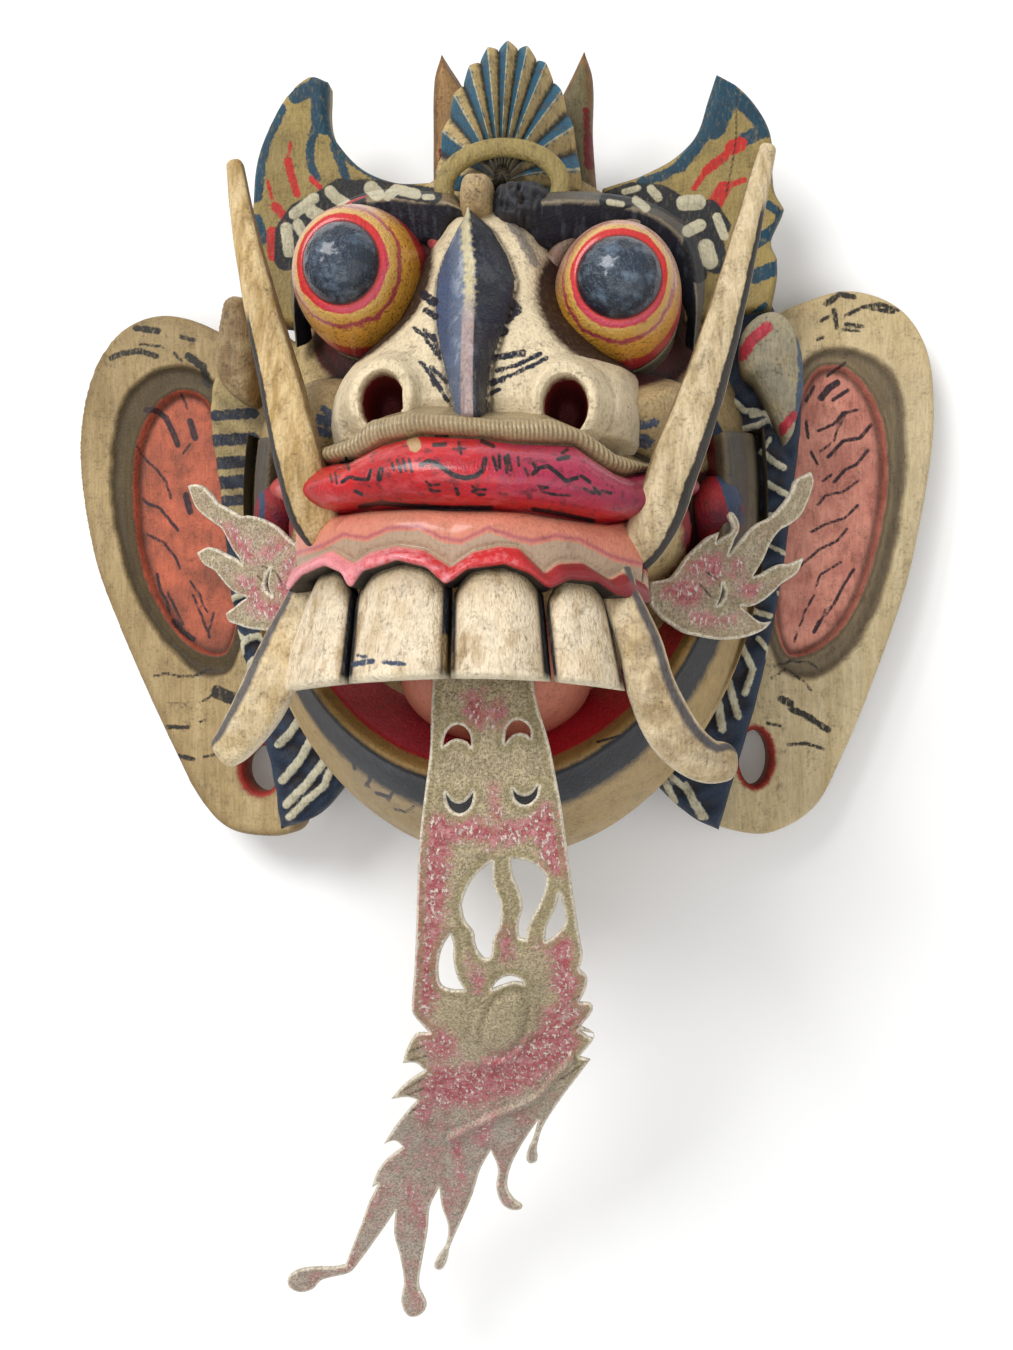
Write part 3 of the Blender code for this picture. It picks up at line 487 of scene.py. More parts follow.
def leant(points, way, hinge, tilt, high):
    # a flat piece turned about an upright line, outwards and down
    turn = math.radians(way * tilt)
    dx, z = points[:, 0] - way * hinge, points[:, 2]
    return np.column_stack([way * hinge + dx * math.cos(turn) + z * math.sin(turn), points[:, 1],
                            high - dx * math.sin(turn) + z * math.cos(turn)])


def rounded(gap, radius):
    # how far a softened edge falls below the face at a distance from the edge
    t = np.clip(1 - gap / radius, 0, 1)
    return radius * (1 - np.sqrt(1 - t**2))


def flatBack(level, radius):
    # the underside of a flat piece, with its edge softened
    return lambda x, y, gap: level + rounded(gap, radius)


def ripple(x, y, size, seed):
    # a smooth uneven wave over a plane, the sum of a few turned sines, between -1 and 1
    rng = np.random.default_rng(seed)
    total = 0.0
    for _ in range(5):
        turn, phase, rate = rng.uniform(0, math.pi), rng.uniform(0, 6.3), rng.uniform(0.6, 1.5)
        total = total + np.sin((x * math.cos(turn) + y * math.sin(turn)) * rate * 2 * math.pi / size + phase)
    return total / 5


def woodFinish(name, base, strokes=(), much=1.0, dirt="3c3026"):
    finish = Finish(name)
    return finish.worn(finish.brush(base, *strokes), much, dirt=dirt)


print("tools ready")

# Strokes measured in the view that several pieces share: black ground and cream pebbles round the brows

browPaint = {
    "ground": [(3.14, 286, 259, 287, 232, 299, 214, 320, 204, 341, 190),
        (2.03, 341, 190, 365, 187, 398, 190, 434, 196), (2.77, 308, 232, 320, 220, 335, 208, 356, 202),
        (3.14, 611, 202, 632, 194, 659, 196, 680, 208, 695, 220, 710, 235, 716, 262), (2.4, 692, 244, 698, 274),
        (2.22, 710, 208, 722, 226)],
    "pebbles": [(1.66, 294, 214, 314, 198), (1.75, 330, 191, 336, 198, 346, 204), (2.03, 312, 212, 325, 219),
        (1.75, 286, 228, 289, 252), (1.57, 298, 224, 306, 240), (2.22, 371, 188, 377, 194),
        (1.57, 388, 196, 396, 189, 416, 194), (0.92, 425, 197, 432, 197), (0.92, 624, 192, 638, 188),
        (1.38, 651, 189, 658, 197), (1.29, 636, 200, 646, 208), (0.92, 609, 202, 622, 204),
        (2.4, 684, 203, 698, 202), (1.85, 688, 231, 700, 225), (2.49, 706, 247, 710, 261),
        (1.38, 717, 217, 724, 236)]}

# the mark, its tone, how ragged and how dry
browStrokes = (("ground", "1c2126", 0.5, 0.25), ("pebbles", "pebble", 0.35, 0.1))


def browMarks(points, front=None):
    # the strokes are kept off the back of a piece
    off = points[:, 2] < 20 if front is None else ~front
    return {"ground": np.where(off, clear, painted(points, browPaint["ground"]) + 0.5),
            "pebbles": np.where(off, clear, painted(points, browPaint["pebbles"]))}


# Block shell: the head with its swellings, the flat back rim and the wearer's hollow

block = {
    "centre": (1, 58), "outer": (98, 118, 106), "hollow": (85, 105, 86), "mouth": ((2, 52, 66), (40, 21.6, 48)),
    # each swelling's middle, its half sizes and the reach of the crease round it: skull, snout, cheeks, crown
    "swellings": [((2, 133, 50), (66, 36, 53), 10), ((2, 48, 86), (66, 34, 56), 6),
        ((-47, 82, 84), (21, 17, 28), 5), ((-71, 54, 72), (9, 13, 14), 3), ((51, 82, 84), (21, 17, 28), 5),
        ((77, 54, 72), (9, 13, 14), 3), ((7, 165, 20), (46, 26, 48), 8)],
    # the socket's half width and how much taller it is, then the groove's reach and its middle line
    "socket": (21.5, 1.13), "groove": (7, 3),
    "rows": {"outer": 136, "hollow": 44}, "columns": 440, "eyes": [(-38, 127), (44, 120.5)],
    "dabs": [(1.18, 323, 408, 335, 422), (1.03, 338, 408, 347, 422), (1.18, 622, 422, 634, 428),
        (1.64, 320, 419, 343, 427), (1.4, 313, 430, 328, 434), (2.1, 621, 434, 647, 442), (1.4, 632, 427, 655, 423)],
    "corners": [(2.6, 275, 480, 277, 520), (3.4, 706, 495, 712, 520), (3.0, 690, 540, 700, 560)],
    "strips": [(2.2, 714, 455, 728, 485, 738, 520), (2.6, 708, 420, 722, 450, 736, 500),
        (0.9, 258, 460, 262, 500, 262, 540)]}


def blockHeight(x, y):
    # the highest of the head's swellings over each place, with soft creases between them
    z = bulge(x, y, (*block["centre"], 0), block["outer"])
    for centre, radii, reach in block["swellings"]:
        z = softMax(z, bulge(x, y, centre, radii), reach)
    return z


def socketRing(x, y):
    # millimetres outside the nearest eye's side
    half, taller = block["socket"]
    near = 99.0
    for cx, cy in block["eyes"]:
        near = np.minimum(near, np.sqrt((x - cx) ** 2 + ((y - cy) / taller) ** 2) - half)
    return near


def blockMarks(points, found):
    x, y, z = points.T
    ring = socketRing(x, y)
    (leftX, level), (rightX, _) = block["swellings"][3][0][:2], block["swellings"][5][0][:2]
    balls = 15 - np.minimum(np.hypot(x - leftX, y - level), np.hypot(x - rightX, y - level))
    return {**browMarks(points), "socket": np.where((z > 20) & (ring < 9), 6 - ring, clear),
            "corners": np.maximum(painted(points, block["corners"]), np.where(z > 40, balls, clear)),
            "dabs": painted(points, block["dabs"]), "strips": painted(points, block["strips"]), "low": z}


def blockFinish():
    finish = Finish("aged painted wood and raw hollow")
    side = (2.2 - finish.mark("low") * 0.05 + (finish.noise(40, 3) - 0.5) * 0.8).clip()
    colour = finish.over("b49c6f", (finish.spots(0.4, 2, 24, 3) * 0.5, "9a8668"), (side, "262c33"))
    cornerRed = finish.mix(finish.spots(0.45, 4, 120, 3), "8a1622", "4a1530")
    # the grooves round the eyes are dark red paint, darkened nearly to black as painted shade of their depth
    colour = finish.brush(
        colour, ("socket", "42141a", 1.2, 0.1, 0.5), ("corners", cornerRed, 1.5, 0.05, 0.5),
        ("strips", "2f3f59", 0.5, 0.1), ("dabs", "46536a", 1.6, 0.5), *browStrokes)
    colour, rough, height = agedAndShaded(finish, colour)
    grain, inside = finish.noise(260, 4, 0.6, (1.0, 0.07, 1.0)), finish.mark("inside").clip()
    raw = finish.ramp(grain, [(0.3, "5b4023"), (0.55, "93714a"), (0.75, "b08d62")])
    raw = finish.mix(finish.spots(0.5, 3, 30, 4) * 0.6, raw, "4a341e")
    raised = (finish.mark("pebbles") * 0.5).clip() * 1.5
    height = height + raised + grain * inside * 0.6
    return finish.close(finish.mix(inside, colour, raw), rough + inside * 0.15, height, 0.0005)


def socketDip(x, y):
    # how deep the groove round an eye is cut
    reach, middle = block["groove"]
    return reach * np.clip(1 - np.abs(socketRing(x, y) - middle) / reach, 0, 1) ** 0.7


def makeBlock():
    a = circle(block["columns"])[None, :]
    cx, cy = block["centre"]
    both = []
    for part, start, stop in (("outer", 0, math.pi / 2), ("hollow", math.pi / 2, 0.001)):
        s = np.linspace(start, stop, block["rows"][part])[:, None]
        wide, tall, deep = block[part]
        x, y, z = cx + wide * np.sin(s) * np.cos(a), cy + tall * np.sin(s) * np.sin(a), deep * np.cos(s)
        if part == "outer":
            z = np.maximum(blockHeight(x, y), z)
            z = np.where(z > 45, z - socketDip(x, y), z)
            z[-1] = 0
        else:
            z = np.maximum(z, bulge(x, y, *block["mouth"])) + ripple(x, y, 17, 3) * 0.7 * np.cos(s)
            z[0] = 0
        both.append(places(x, y, z))
    outer, inner = both
    grid = np.vstack([outer[1:], inner])
    inside = (np.arange(len(grid)) >= len(outer) - 1)[:, None]
    tube("carved_block", grid, blockFinish(), [outer[0, 0], inner[-1, 0]], {"inside": (inside, (0, 1))}, blockMarks,
         inWood=False)


makeBlock()


# Nose: a leaf-shaped keel on a bridge between two wide wings with deep nostrils

nose = {
    "left": -48, "right": 54, "foot": 60,
    "bridge": [(66, 72, 82, 92, 105, 113, 121.6, 132, 145, 152), (118, 136, 140, 138, 131, 125, 119, 114, 105, 98)],
    "halfWidth": [(70, 78, 88, 100, 112, 132, 148), (30, 32, 29, 22, 17, 14, 9)], "low": 66, "high": 152,
    "nostrils": [(-25.2, 81.5), (29.5, 79.5)], "opening": (6.6, 8.6), "wing": (14.8, 14.5, 22), "wingLevel": 118,
    "keel": [(144.5, -1.8, -1.0, 121), (138.4, -5.2, 5.4, 123.5), (130, -9.0, 10.2, 125.5),
        (121.6, -11.0, 13.2, 129), (113, -10.8, 12.9, 134), (105, -9.6, 11.2, 140), (97, -7.8, 9.2, 145),
        (89.8, -5.8, 7.4, 149.5), (80, -3.4, 7.0, 153), (75, -2.4, 6.8, 154), (72.5, -1.4, 6.2, 151)],
    "ridge": [(145, -1.5), (138, -0.8), (121, 1.6), (100, 2.4), (75, 3.4)],
    "strokes": [(1.48, 424, 295, 434, 302), (1.03, 426, 310, 436, 317), (0.59, 414, 328, 424, 336, 437, 355),
        (0.66, 424, 330, 436, 343), (0.74, 434, 336, 440, 358), (0.59, 419, 361, 429, 372, 434, 386),
        (0.66, 424, 365, 438, 384, 446, 398), (0.74, 431, 367, 446, 382), (0.66, 438, 386, 448, 401),
        (2.95, 487, 314, 506, 314), (1.92, 504, 298, 516, 310), (1.62, 490, 334, 504, 331),
        (1.03, 494, 358, 523, 353), (0.74, 497, 370, 518, 365, 540, 354), (0.66, 502, 379, 523, 370, 547, 358),
        (1.03, 490, 384, 502, 379), (0.66, 487, 396, 499, 389)],
    "folds": [(1.6, 505, 215, 520, 235, 535, 262), (1.2, 492, 208, 505, 200, 520, 205)]}


def tableAt(y, table, column):
    # one column of a table read along its first, which falls
    rows = np.array(table, float)[::-1]
    return np.interp(y, rows[:, 0], rows[:, column])


def keelAt(x, y):
    # share of the way from the ridge to the keel's edge, and the height of the ridge
    ridge = tableAt(y, nose["ridge"], 1)
    left, right = tableAt(y, nose["keel"], 1), tableAt(y, nose["keel"], 2)
    half = np.maximum(np.where(x < ridge, ridge - left, right - ridge), 0.2)
    share = np.abs(x - ridge) / half
    out = (y > 145) | (y < 72)
    return np.where(out, 9.0, share), tableAt(y, nose["keel"], 3), ridge


def noseHeight(x, y):
    z = blockHeight(x, y) - 1.5
    z = z - socketDip(x, y) * (y > 95)
    share, keelTop, ridge = keelAt(x, y)
    bridgeTop, half = np.interp(y, *nose["bridge"]), np.interp(y, *nose["halfWidth"])
    side = np.abs(x - 2) / half
    z = softMax(z, np.where(side < 2.4, bridgeTop - 2.5 * side**2 - 22 * np.maximum(side - 0.9, 0) ** 1.6, -60), 6)
    for cx, cy in nose["nostrils"]:
        z = softMax(z, bulge(x, y, (cx * 0.97, cy + 1.5, nose["wingLevel"]), nose["wing"]), 14)
    keel = keelTop - 2.2 * np.minimum(share, 1) - 5.2 * np.minimum(share, 1) ** 2.2
    flat = np.clip((100 - y) / 12, 0, 1) * 2.0
    keel = np.where(np.abs(x - ridge) < flat, keelTop - 0.3, keel)
    z = np.where(share < 1, np.maximum(z, keel), z)
    for cx, cy in nose["nostrils"]:
        across, down = (x - cx) / nose["opening"][0], (y - cy) / nose["opening"][1]
        ring = np.sqrt(across**2 + down**2)
        rim = 2.2 * np.exp(-((ring - 1.42) / 0.26) ** 2)
        z = z + rim * (z > 116)
        z = np.where(ring < 1.04, np.minimum(z, 139 - 22 * (1 - np.minimum(ring / 1.04, 1) ** 5)), z)
    inside = np.minimum(x - nose["left"], nose["right"] - x)
    return z - 18 * np.clip(1 - inside / 9, 0, 1) ** 1.5 + 0.18 * ripple(x, y, 6, 11)


def noseMarks(points):
    x, y = points[:, :2].T
    share, _, ridge = keelAt(x, y)
    half = np.where(x < ridge, ridge - tableAt(y, nose["keel"], 1), tableAt(y, nose["keel"], 2) - ridge)
    pit = np.full(len(x), clear)
    for cx, cy in nose["nostrils"]:
        ring = np.sqrt(((x - cx) / nose["opening"][0]) ** 2 + ((y - cy) / nose["opening"][1]) ** 2)
        pit = np.maximum(pit, (1.0 - ring) * 7)
    # a soft ring next to the eye sockets, for painted shade
    socket = np.where((socketRing(x, y) < 9) & (y > 96), 3.2 - socketRing(x, y), clear)
    return {"keel": np.where(share < 3, (1 - share) * half, clear), "ridge": x - ridge, "pit": pit, "along": y,
            "strokes": painted(points, nose["strokes"]), "folds": painted(points, nose["folds"]), "socket": socket}


def noseFinish():
    finish = Finish("aged nose paint")
    ridge, fine = finish.mark("ridge"), finish.noise(480, 4)
    # painted shade: the keel's right side, turned away from the light, is painted near black
    side = (ridge * 1.6 + 0.3 + (finish.noise(300, 3) - 0.5) * 1.5).clip()
    # painted highlight: pale glossy streaks on the keel's lit left side, near the ridge
    paintedSheen = finish.spots(0.5, 7, 300, 4, 0.65, (1.0, 0.35, 1.0)) * 0.7 + 0.25
    paintedSheen = paintedSheen * (1.15 + ridge * 0.14).clip() * (1 - side * 0.9)
    blue = finish.over("3a4a66", (side, "070d1e"), (paintedSheen, "b4bbc4"))
    keel = finish.mark("keel") + (finish.noise(700, 4) - 0.5) * 1.2
    toRidge, high = abs(ridge + 1.4), ((finish.mark("along") - 103) * 0.08).clip()
    silver = ((2.3 - toRidge) * 0.7 + (fine - 0.5) * 3.2).clip() * high
    stripe = ((2.0 - toRidge) * 3).clip() * (1 - high) * (0.75 + (fine - 0.5)).clip()
    # painted shade: the cream skin next to the eye sockets fades to dark brown
    colour = finish.brush("cream", ("socket", "2c1a12", 1.6, 0.1, 0.42), ("folds", "8a8278", 2.0, 0.3, 0.8))
    colour = finish.over(colour, ((keel * 2.5 + 0.6).clip(), blue), (silver * 0.9, "c4b78d"), (stripe, "greyPink"))
    colour = finish.brush(colour, ("strokes", "10172a", 0.9, 0.5), ("pit", "6a0f14", 0.3, 0.0))
    return finish.worn(colour, 0.8, gloss=(keel * 2).clip() * 0.2)


def makeNose():
    # a relief over a rectangle: a grid of heights, walls down to the wood behind, and a shallow cone underneath
    step, low = drawing["grid"], nose["foot"]
    x, y = np.meshgrid(np.arange(nose["left"], nose["right"] + 0.1, step),
                       np.arange(nose["low"], nose["high"] + 0.1, step))
    rows, columns = x.shape
    top = places(x, y, noseHeight(x, y)).reshape(-1, 3)
    number = np.arange(rows * columns).reshape(rows, columns)
    ring = np.concatenate([number[0, :-1], number[:-1, -1], number[-1, :0:-1], number[:0:-1, 0]])
    foot = top[ring].copy()
    foot[:, 2] = np.minimum(np.maximum(low, hollowTop(foot[:, 0], foot[:, 1]) + 5), foot[:, 2] - 0.5)
    footRing = np.arange(len(ring)) + len(top)
    walls = np.stack([np.roll(ring, -1), ring, footRing, np.roll(footRing, -1)], 1)
    middle = foot.mean(0)
    middle[2] = max(low, float(hollowTop(middle[:1], middle[1:2])[0]) + 8)
    points = np.vstack([top, foot, middle])
    cone = np.stack([np.roll(footRing, -1), footRing, np.full(len(ring), len(points) - 1)], 1)
    makePiece("nose", points, [gridFaces(rows, columns), walls, cone], noseFinish(), noseMarks(points))


makeNose()


# Eyes: turned bulging balls with a raised pupil, painted in rings, and a rolled lid

eyes = {
    "left": {
        "base": (-35.4, 127.2, 78), "tip": (-41.8, 127.6, 128.5), "radius": 21.4, "pupil": (11.6, 12.6),
        "worn": 0.1, "turn": 0.75, "lid": (-40, 115), "lidTone": "b2434a"},
    "right": {
        "base": (43.3, 120.2, 78), "tip": (45.3, 121.4, 128.5), "radius": 20.7, "pupil": (12.6, 12.4), "worn": 0.5,
        "turn": 0.0, "lid": (70, 215), "lidTone": "8a8172"},
    "long": 1.13, "around": 168, "rows": (44, 74, 8),
    "rings": [(0.0, "2c3a4a"), (0.395, "18202c"), (0.403, "c8251f"), (0.44, "c2262a"), (0.447, "d0a85c"),
        (0.492, "cf9a3e"), (0.503, "a83c48"), (0.518, "b04a4c"), (0.528, "dfa33c"), (0.64, "d6912f"),
        (0.655, "bb2724"), (0.765, "b0222a"), (0.782, "14100e"), (0.802, "14100e"), (0.815, "b1a981"),
        (0.93, "8f8a68"), (1.0, "5a5540")]}


def eyeFinish(side):
    finish = Finish("ringed eye paint " + side)
    down = finish.mark("down")
    wobble = ((finish.noise(150, 3) - 0.5) * 0.075 + (finish.noise(700, 3) - 0.5) * 0.02) * finish.mark("free")
    ring = finish.mark("ring") + wobble
    pink = ((ring - 0.405) * 60).clip() * ((0.45 - ring) * 60).clip() * (down * 1.3).clip()
    worn = (eyes[side]["worn"] - down * 1.6 + (finish.noise(120, 4) - 0.5) * 1.8).clip() * ((ring - 0.44) * 9).clip()
    speck = finish.spots(0.55, 9, 900, 4) * ((ring - 0.45) * 20).clip()
    colour = finish.over(finish.ramp(ring, eyes["rings"]), (pink * 0.5, "c0486a"), (worn * 0.8, "b08d84"),
                         (speck * 0.7, "4a2412"))
    colour, rough, height = agedAndShaded(finish, colour, 0.35)
    pupil, lump = ((0.40 - ring) * 40).clip(), finish.noise(150, 3, 0.55, (1.0, 0.6, 1.0))
    # painted highlight: paler blue-grey glossy patches on the pupil
    colour = finish.mix(finish.spots(0.5, 5, 170, 5, 0.7) * pupil * 0.55, colour, "6f8499")
    return finish.close(colour, rough - pupil * 0.36, height + lump * pupil * 1.3, 0.0006, 0.6, 0.16)


def makeEye(side):
    shape = eyes[side]
    base, tip = np.array(shape["base"], float), np.array(shape["tip"], float)
    radius, (wide, tall) = shape["radius"], shape["pupil"]
    a, (dome, cone, walls) = circle(eyes["around"])[None, :], eyes["rows"]
    t = np.linspace(0, 1, dome)[1:]
    domeOut, domeUp = np.sin(t * 1.15) / math.sin(1.15), -11.0 * (1 - np.cos(t * 1.15))
    edge = domeUp[-1] - 1.3
    u = np.linspace(0, 1, cone)
    bow = (1 - (1 - u) ** 2) * math.pi / 2
    ringX = (wide + 0.5 + (radius - wide - 0.5) * np.sin(bow)[:, None]) * np.cos(a)
    ringY = (tall + 0.5 + (radius * eyes["long"] - tall - 0.5) * np.sin(bow)[:, None]) * np.sin(a)
    x = np.vstack([wide * domeOut[:, None] * np.cos(a), ringX, np.repeat(ringX[-1:], walls, 0)])
    y = np.vstack([tall * domeOut[:, None] * np.sin(a), ringY, np.repeat(ringY[-1:], walls, 0)])
    h = np.concatenate([domeUp, edge - (38.5 + edge) * (1 - np.cos(bow)), np.linspace(-41, -70, walls)])[:, None]
    h = h + 0.22 * ripple(x, y, 5, 21) * (np.arange(len(x)) < len(domeUp))[:, None]
    down = (tip[2] - base[2] + h) / (tip[2] - base[2])
    axis = base + (tip - base) * np.clip(down, -0.6, 1.2)[..., None]
    ring = np.concatenate([t * 0.39, 0.40 + 0.52 * np.minimum(u / 0.93, 1.1), np.ones(walls)])[:, None]
    tube("eye_" + side, places(axis[..., 0] + x, axis[..., 1] + y, tip[2] + h), eyeFinish(side),
         [tip, (base[0], base[1], tip[2] - 70)],
         {"ring": (ring, (0, 1)), "down": (-np.sin(a - shape["turn"]), (0, 0)),
          "free": (np.clip((ring - 0.42) * 25, 0, 1), (0, 1))})


def makeLid(side):
    # a rolled arc over the inner upper part of the ball, thin at both ends
    shape = eyes[side]
    a = np.radians(np.linspace(*shape["lid"], 90))
    reach = shape["radius"] + 2.2
    path = np.stack([shape["base"][0] + reach * np.cos(a) * 1.02, shape["base"][1] + reach * eyes["long"] * np.sin(a),
                     91 + 4 * np.sin(a)], 1)
    thin = 0.35 + 0.65 * np.sin(np.linspace(0, math.pi, 90))[:, None] ** 0.6
    finish = Finish("worn lid paint " + side)
    colour = finish.mix(finish.spots(0.45, 4, 160, 4) * 0.6, shape["lidTone"], "7b4a3f")
    sweep("eyelid_" + side, path, lambda t, a: (3.0 * np.cos(a) * thin, 4.2 * np.sin(a) * thin), 24,
          finish.worn(colour))


for side in ("left", "right"):
    makeEye(side)
    makeLid(side)


# Brows: crested bands that slope down to the eyes, and two knobs over the nose

brows = {
    "rows": 190, "around": 64,
    "left": [(-3, 146.5, 104), (-9, 149.5, 105), (-19.2, 151.4, 103), (-30, 153, 101), (-42, 152, 97),
        (-54, 147.6, 90), (-62, 139, 82), (-66, 127, 75), (-66.5, 113, 68)],
    "right": [(8, 145.5, 106), (14, 147.5, 106.5), (24, 149, 106), (35, 149.7, 103), (47, 149, 99), (55.4, 147, 95),
        (62, 143.6, 90), (66.2, 139.3, 86), (69, 131.4, 80), (70, 122, 76), (69.2, 109, 70)],
    "outer": {"left": "77664a", "right": "57524a"},
    "section": [(-2.2, -1.5), (-0.6, 0.6), (1.2, 0.4), (6, -3.2), (10.5, -8), (11, -18), (2, -24), (-5, -24),
        (-6.5, -12), (-4.6, -5)]}


def browSection(a):
    # how far inwards and up the brow's edge lies at angles round it
    found = roundLoop(np.array(brows["section"], float), a[0] / (2 * math.pi) * len(brows["section"]))
    return found[:, 0][None, :], found[:, 1][None, :]


def makeBrow(side, way):
    rows, around = brows["rows"], brows["around"]
    t = np.linspace(0, 1, rows)[:, None]
    taper = np.clip(np.minimum(t / 0.10, (1 - t) / 0.35), 0.25, 1)

    def section(t, a):
        inward, up = browSection(a)
        return way * inward * taper, up * (0.6 + 0.4 * taper)

    def marks(points, found):
        inward = browSection(circle(around)[None, :])[0][0]
        return {"band": np.append(np.tile(inward, rows), [0, 0]), **browMarks(points)}

    finish = Finish("brow paint " + side)
    edge = finish.mark("band") + (finish.noise(500, 4) - 0.5) * 1.6
    bristle = finish.noise(420, 3, 0.6, (1.0, 0.10, 0.4))
    navy = finish.mix(((bristle - 0.52) * 4).clip() * 0.5, "141a27", "5f6874")
    outer = finish.mix(finish.spots(0.45, 4, 200, 4) * 0.6, brows["outer"][side], "3b342a")
    crest = (1.1 - abs(edge - 0.2)).clip() * (0.4 + bristle)
    colour = finish.over(outer, ((edge * 1.2 - 0.1).clip(), navy), (crest * 0.6, "a99b80"))
    sweep("brow_" + side, smoothPath(brows[side], rows), section, around,
          finish.worn(finish.brush(colour, *browStrokes), 0.6, rise=bristle * 0.5), marks)


makeBrow("left", -1)
makeBrow("right", 1)


def makeKnob(side, centre, radii, seed, base):
    def lumps(x, y):
        if side == "left":
            return 0.8 * ripple(x, y, 7, seed)
        return 1.5 * ripple(x * 1.4, y, 5, seed) + ripple(x, y * 0.4, 2.4, seed)

    t, a = np.linspace(0, math.pi, 60)[1:-1, None], circle(90)[None, :]
    wide, tall, deep = radii
    reach = np.sin(t) ** 0.7 * squareRing(a, 3)
    x, y, z = wide * reach * np.cos(a), tall * reach * np.sin(a), deep * np.cos(t)
    tube("brow_knob_" + side, places(x, y, z + lumps(x, y) * (z > 0)) + centre,
         woodFinish("knob paint " + side, base, much=1.3),
         [(0, 0, deep + lumps(0, 0)) + np.array(centre), (0, 0, -deep) + np.array(centre)])


makeKnob("left", (-0.5, 152, 100), (5.5, 7.5, 12), 3, "tan")
makeKnob("right", (13.5, 149.5, 97), (9.5, 8.0, 12.5), 4, "ink")


# Muzzle: a fluted band, the heavy painted lip, a groove, a salmon band and a wavy red gum. Its edges follow lines
# measured across the view; the surface is a loop of control places at each angle round the muzzle, smoothed

muzzle = {
    "reach": 72, "short": (0.22, 0.33), "front": 68, "spread": 66, "columns": 560, "rows": 160,
    "bandTop": [(280, 458), (308, 449), (343, 438), (366, 419), (404, 411), (442, 413), (503, 418), (556, 417),
        (590, 430), (621, 453), (644, 460), (680, 470)],
    "lipTop": [(280, 472), (313, 464), (351, 457), (377, 442), (415, 433), (480, 436), (518, 441), (579, 443),
        (613, 468), (632, 475), (653, 470), (680, 470)],
    "lipLow": [(280, 500), (310, 512), (332, 513), (358, 508), (415, 506), (491, 508), (533, 510), (594, 520),
        (632, 522), (655, 514), (680, 500)],
    "stripe": [(290, 560), (324, 550), (343, 539), (366, 543), (389, 533), (419, 531), (442, 543), (461, 546),
        (488, 533), (518, 543), (533, 546), (556, 541), (579, 544), (613, 562), (632, 567), (660, 572)],
    "gumTop": [(290, 572), (313, 560), (336, 550), (358, 563), (374, 552), (400, 546), (427, 550), (452, 567),
        (473, 552), (499, 546), (518, 548), (543, 573), (556, 563), (579, 562), (606, 579), (620, 572), (650, 588)],
    "gumLow": [(285, 604), (301, 590), (313, 577), (336, 567), (353, 575), (358, 586), (361, 590), (372, 573),
        (404, 562), (431, 569), (448, 586), (454, 583), (469, 571), (503, 566), (526, 575), (541, 588), (546, 590),
        (564, 581), (590, 584), (606, 596), (640, 604), (660, 606)],
    "marks": [(0.47, 341, 463, 353, 461), (0.47, 346, 458, 349, 470), (0.35, 335, 472, 337, 484),
        (0.35, 330, 474, 332, 482), (0.58, 342, 482, 349, 477, 358, 479, 368, 480, 371, 470),
        (0.94, 379, 479, 381, 470), (0.47, 392, 463, 394, 470), (0.47, 397, 460, 401, 472),
        (0.47, 403, 459, 406, 471), (0.47, 409, 459, 412, 472), (0.58, 355, 491, 362, 495),
        (0.82, 421, 465, 428, 461, 436, 463, 444, 469, 453, 475, 465, 478, 476, 476, 483, 470, 485, 459),
        (0.47, 453, 449, 465, 449), (0.47, 459, 443, 461, 454), (0.7, 434, 445, 445, 444),
        (0.35, 436, 436, 448, 436), (0.7, 482, 441, 493, 446), (0.58, 493, 457, 497, 470),
        (0.58, 499, 455, 500, 468), (0.58, 505, 457, 507, 472), (0.58, 508, 455, 511, 470),
        (0.47, 518, 457, 519, 466), (0.47, 525, 468, 528, 476),
        (0.7, 533, 474, 539, 468, 548, 466, 556, 472, 566, 481, 577, 478), (0.47, 533, 463, 537, 470),
        (0.7, 558, 459, 569, 457), (0.58, 562, 453, 567, 450), (0.58, 581, 476, 590, 482),
        (0.58, 584, 489, 594, 493), (0.58, 594, 488, 600, 494), (0.58, 602, 491, 611, 493),
        (0.47, 426, 482, 432, 486, 439, 484), (0.47, 429, 489, 434, 492, 440, 491), (0.7, 456, 489, 458, 494),
        (0.47, 472, 486, 478, 490, 486, 489), (0.47, 472, 491, 480, 495, 485, 494), (0.47, 539, 486, 548, 487),
        (0.47, 541, 491, 556, 495, 571, 495), (0.8, 360, 507, 381, 503, 412, 506, 442, 508, 491, 508),
        (0.7, 533, 509, 556, 513, 594, 521)],
    "chip": [(1.9, 413, 442, 415, 446)]}

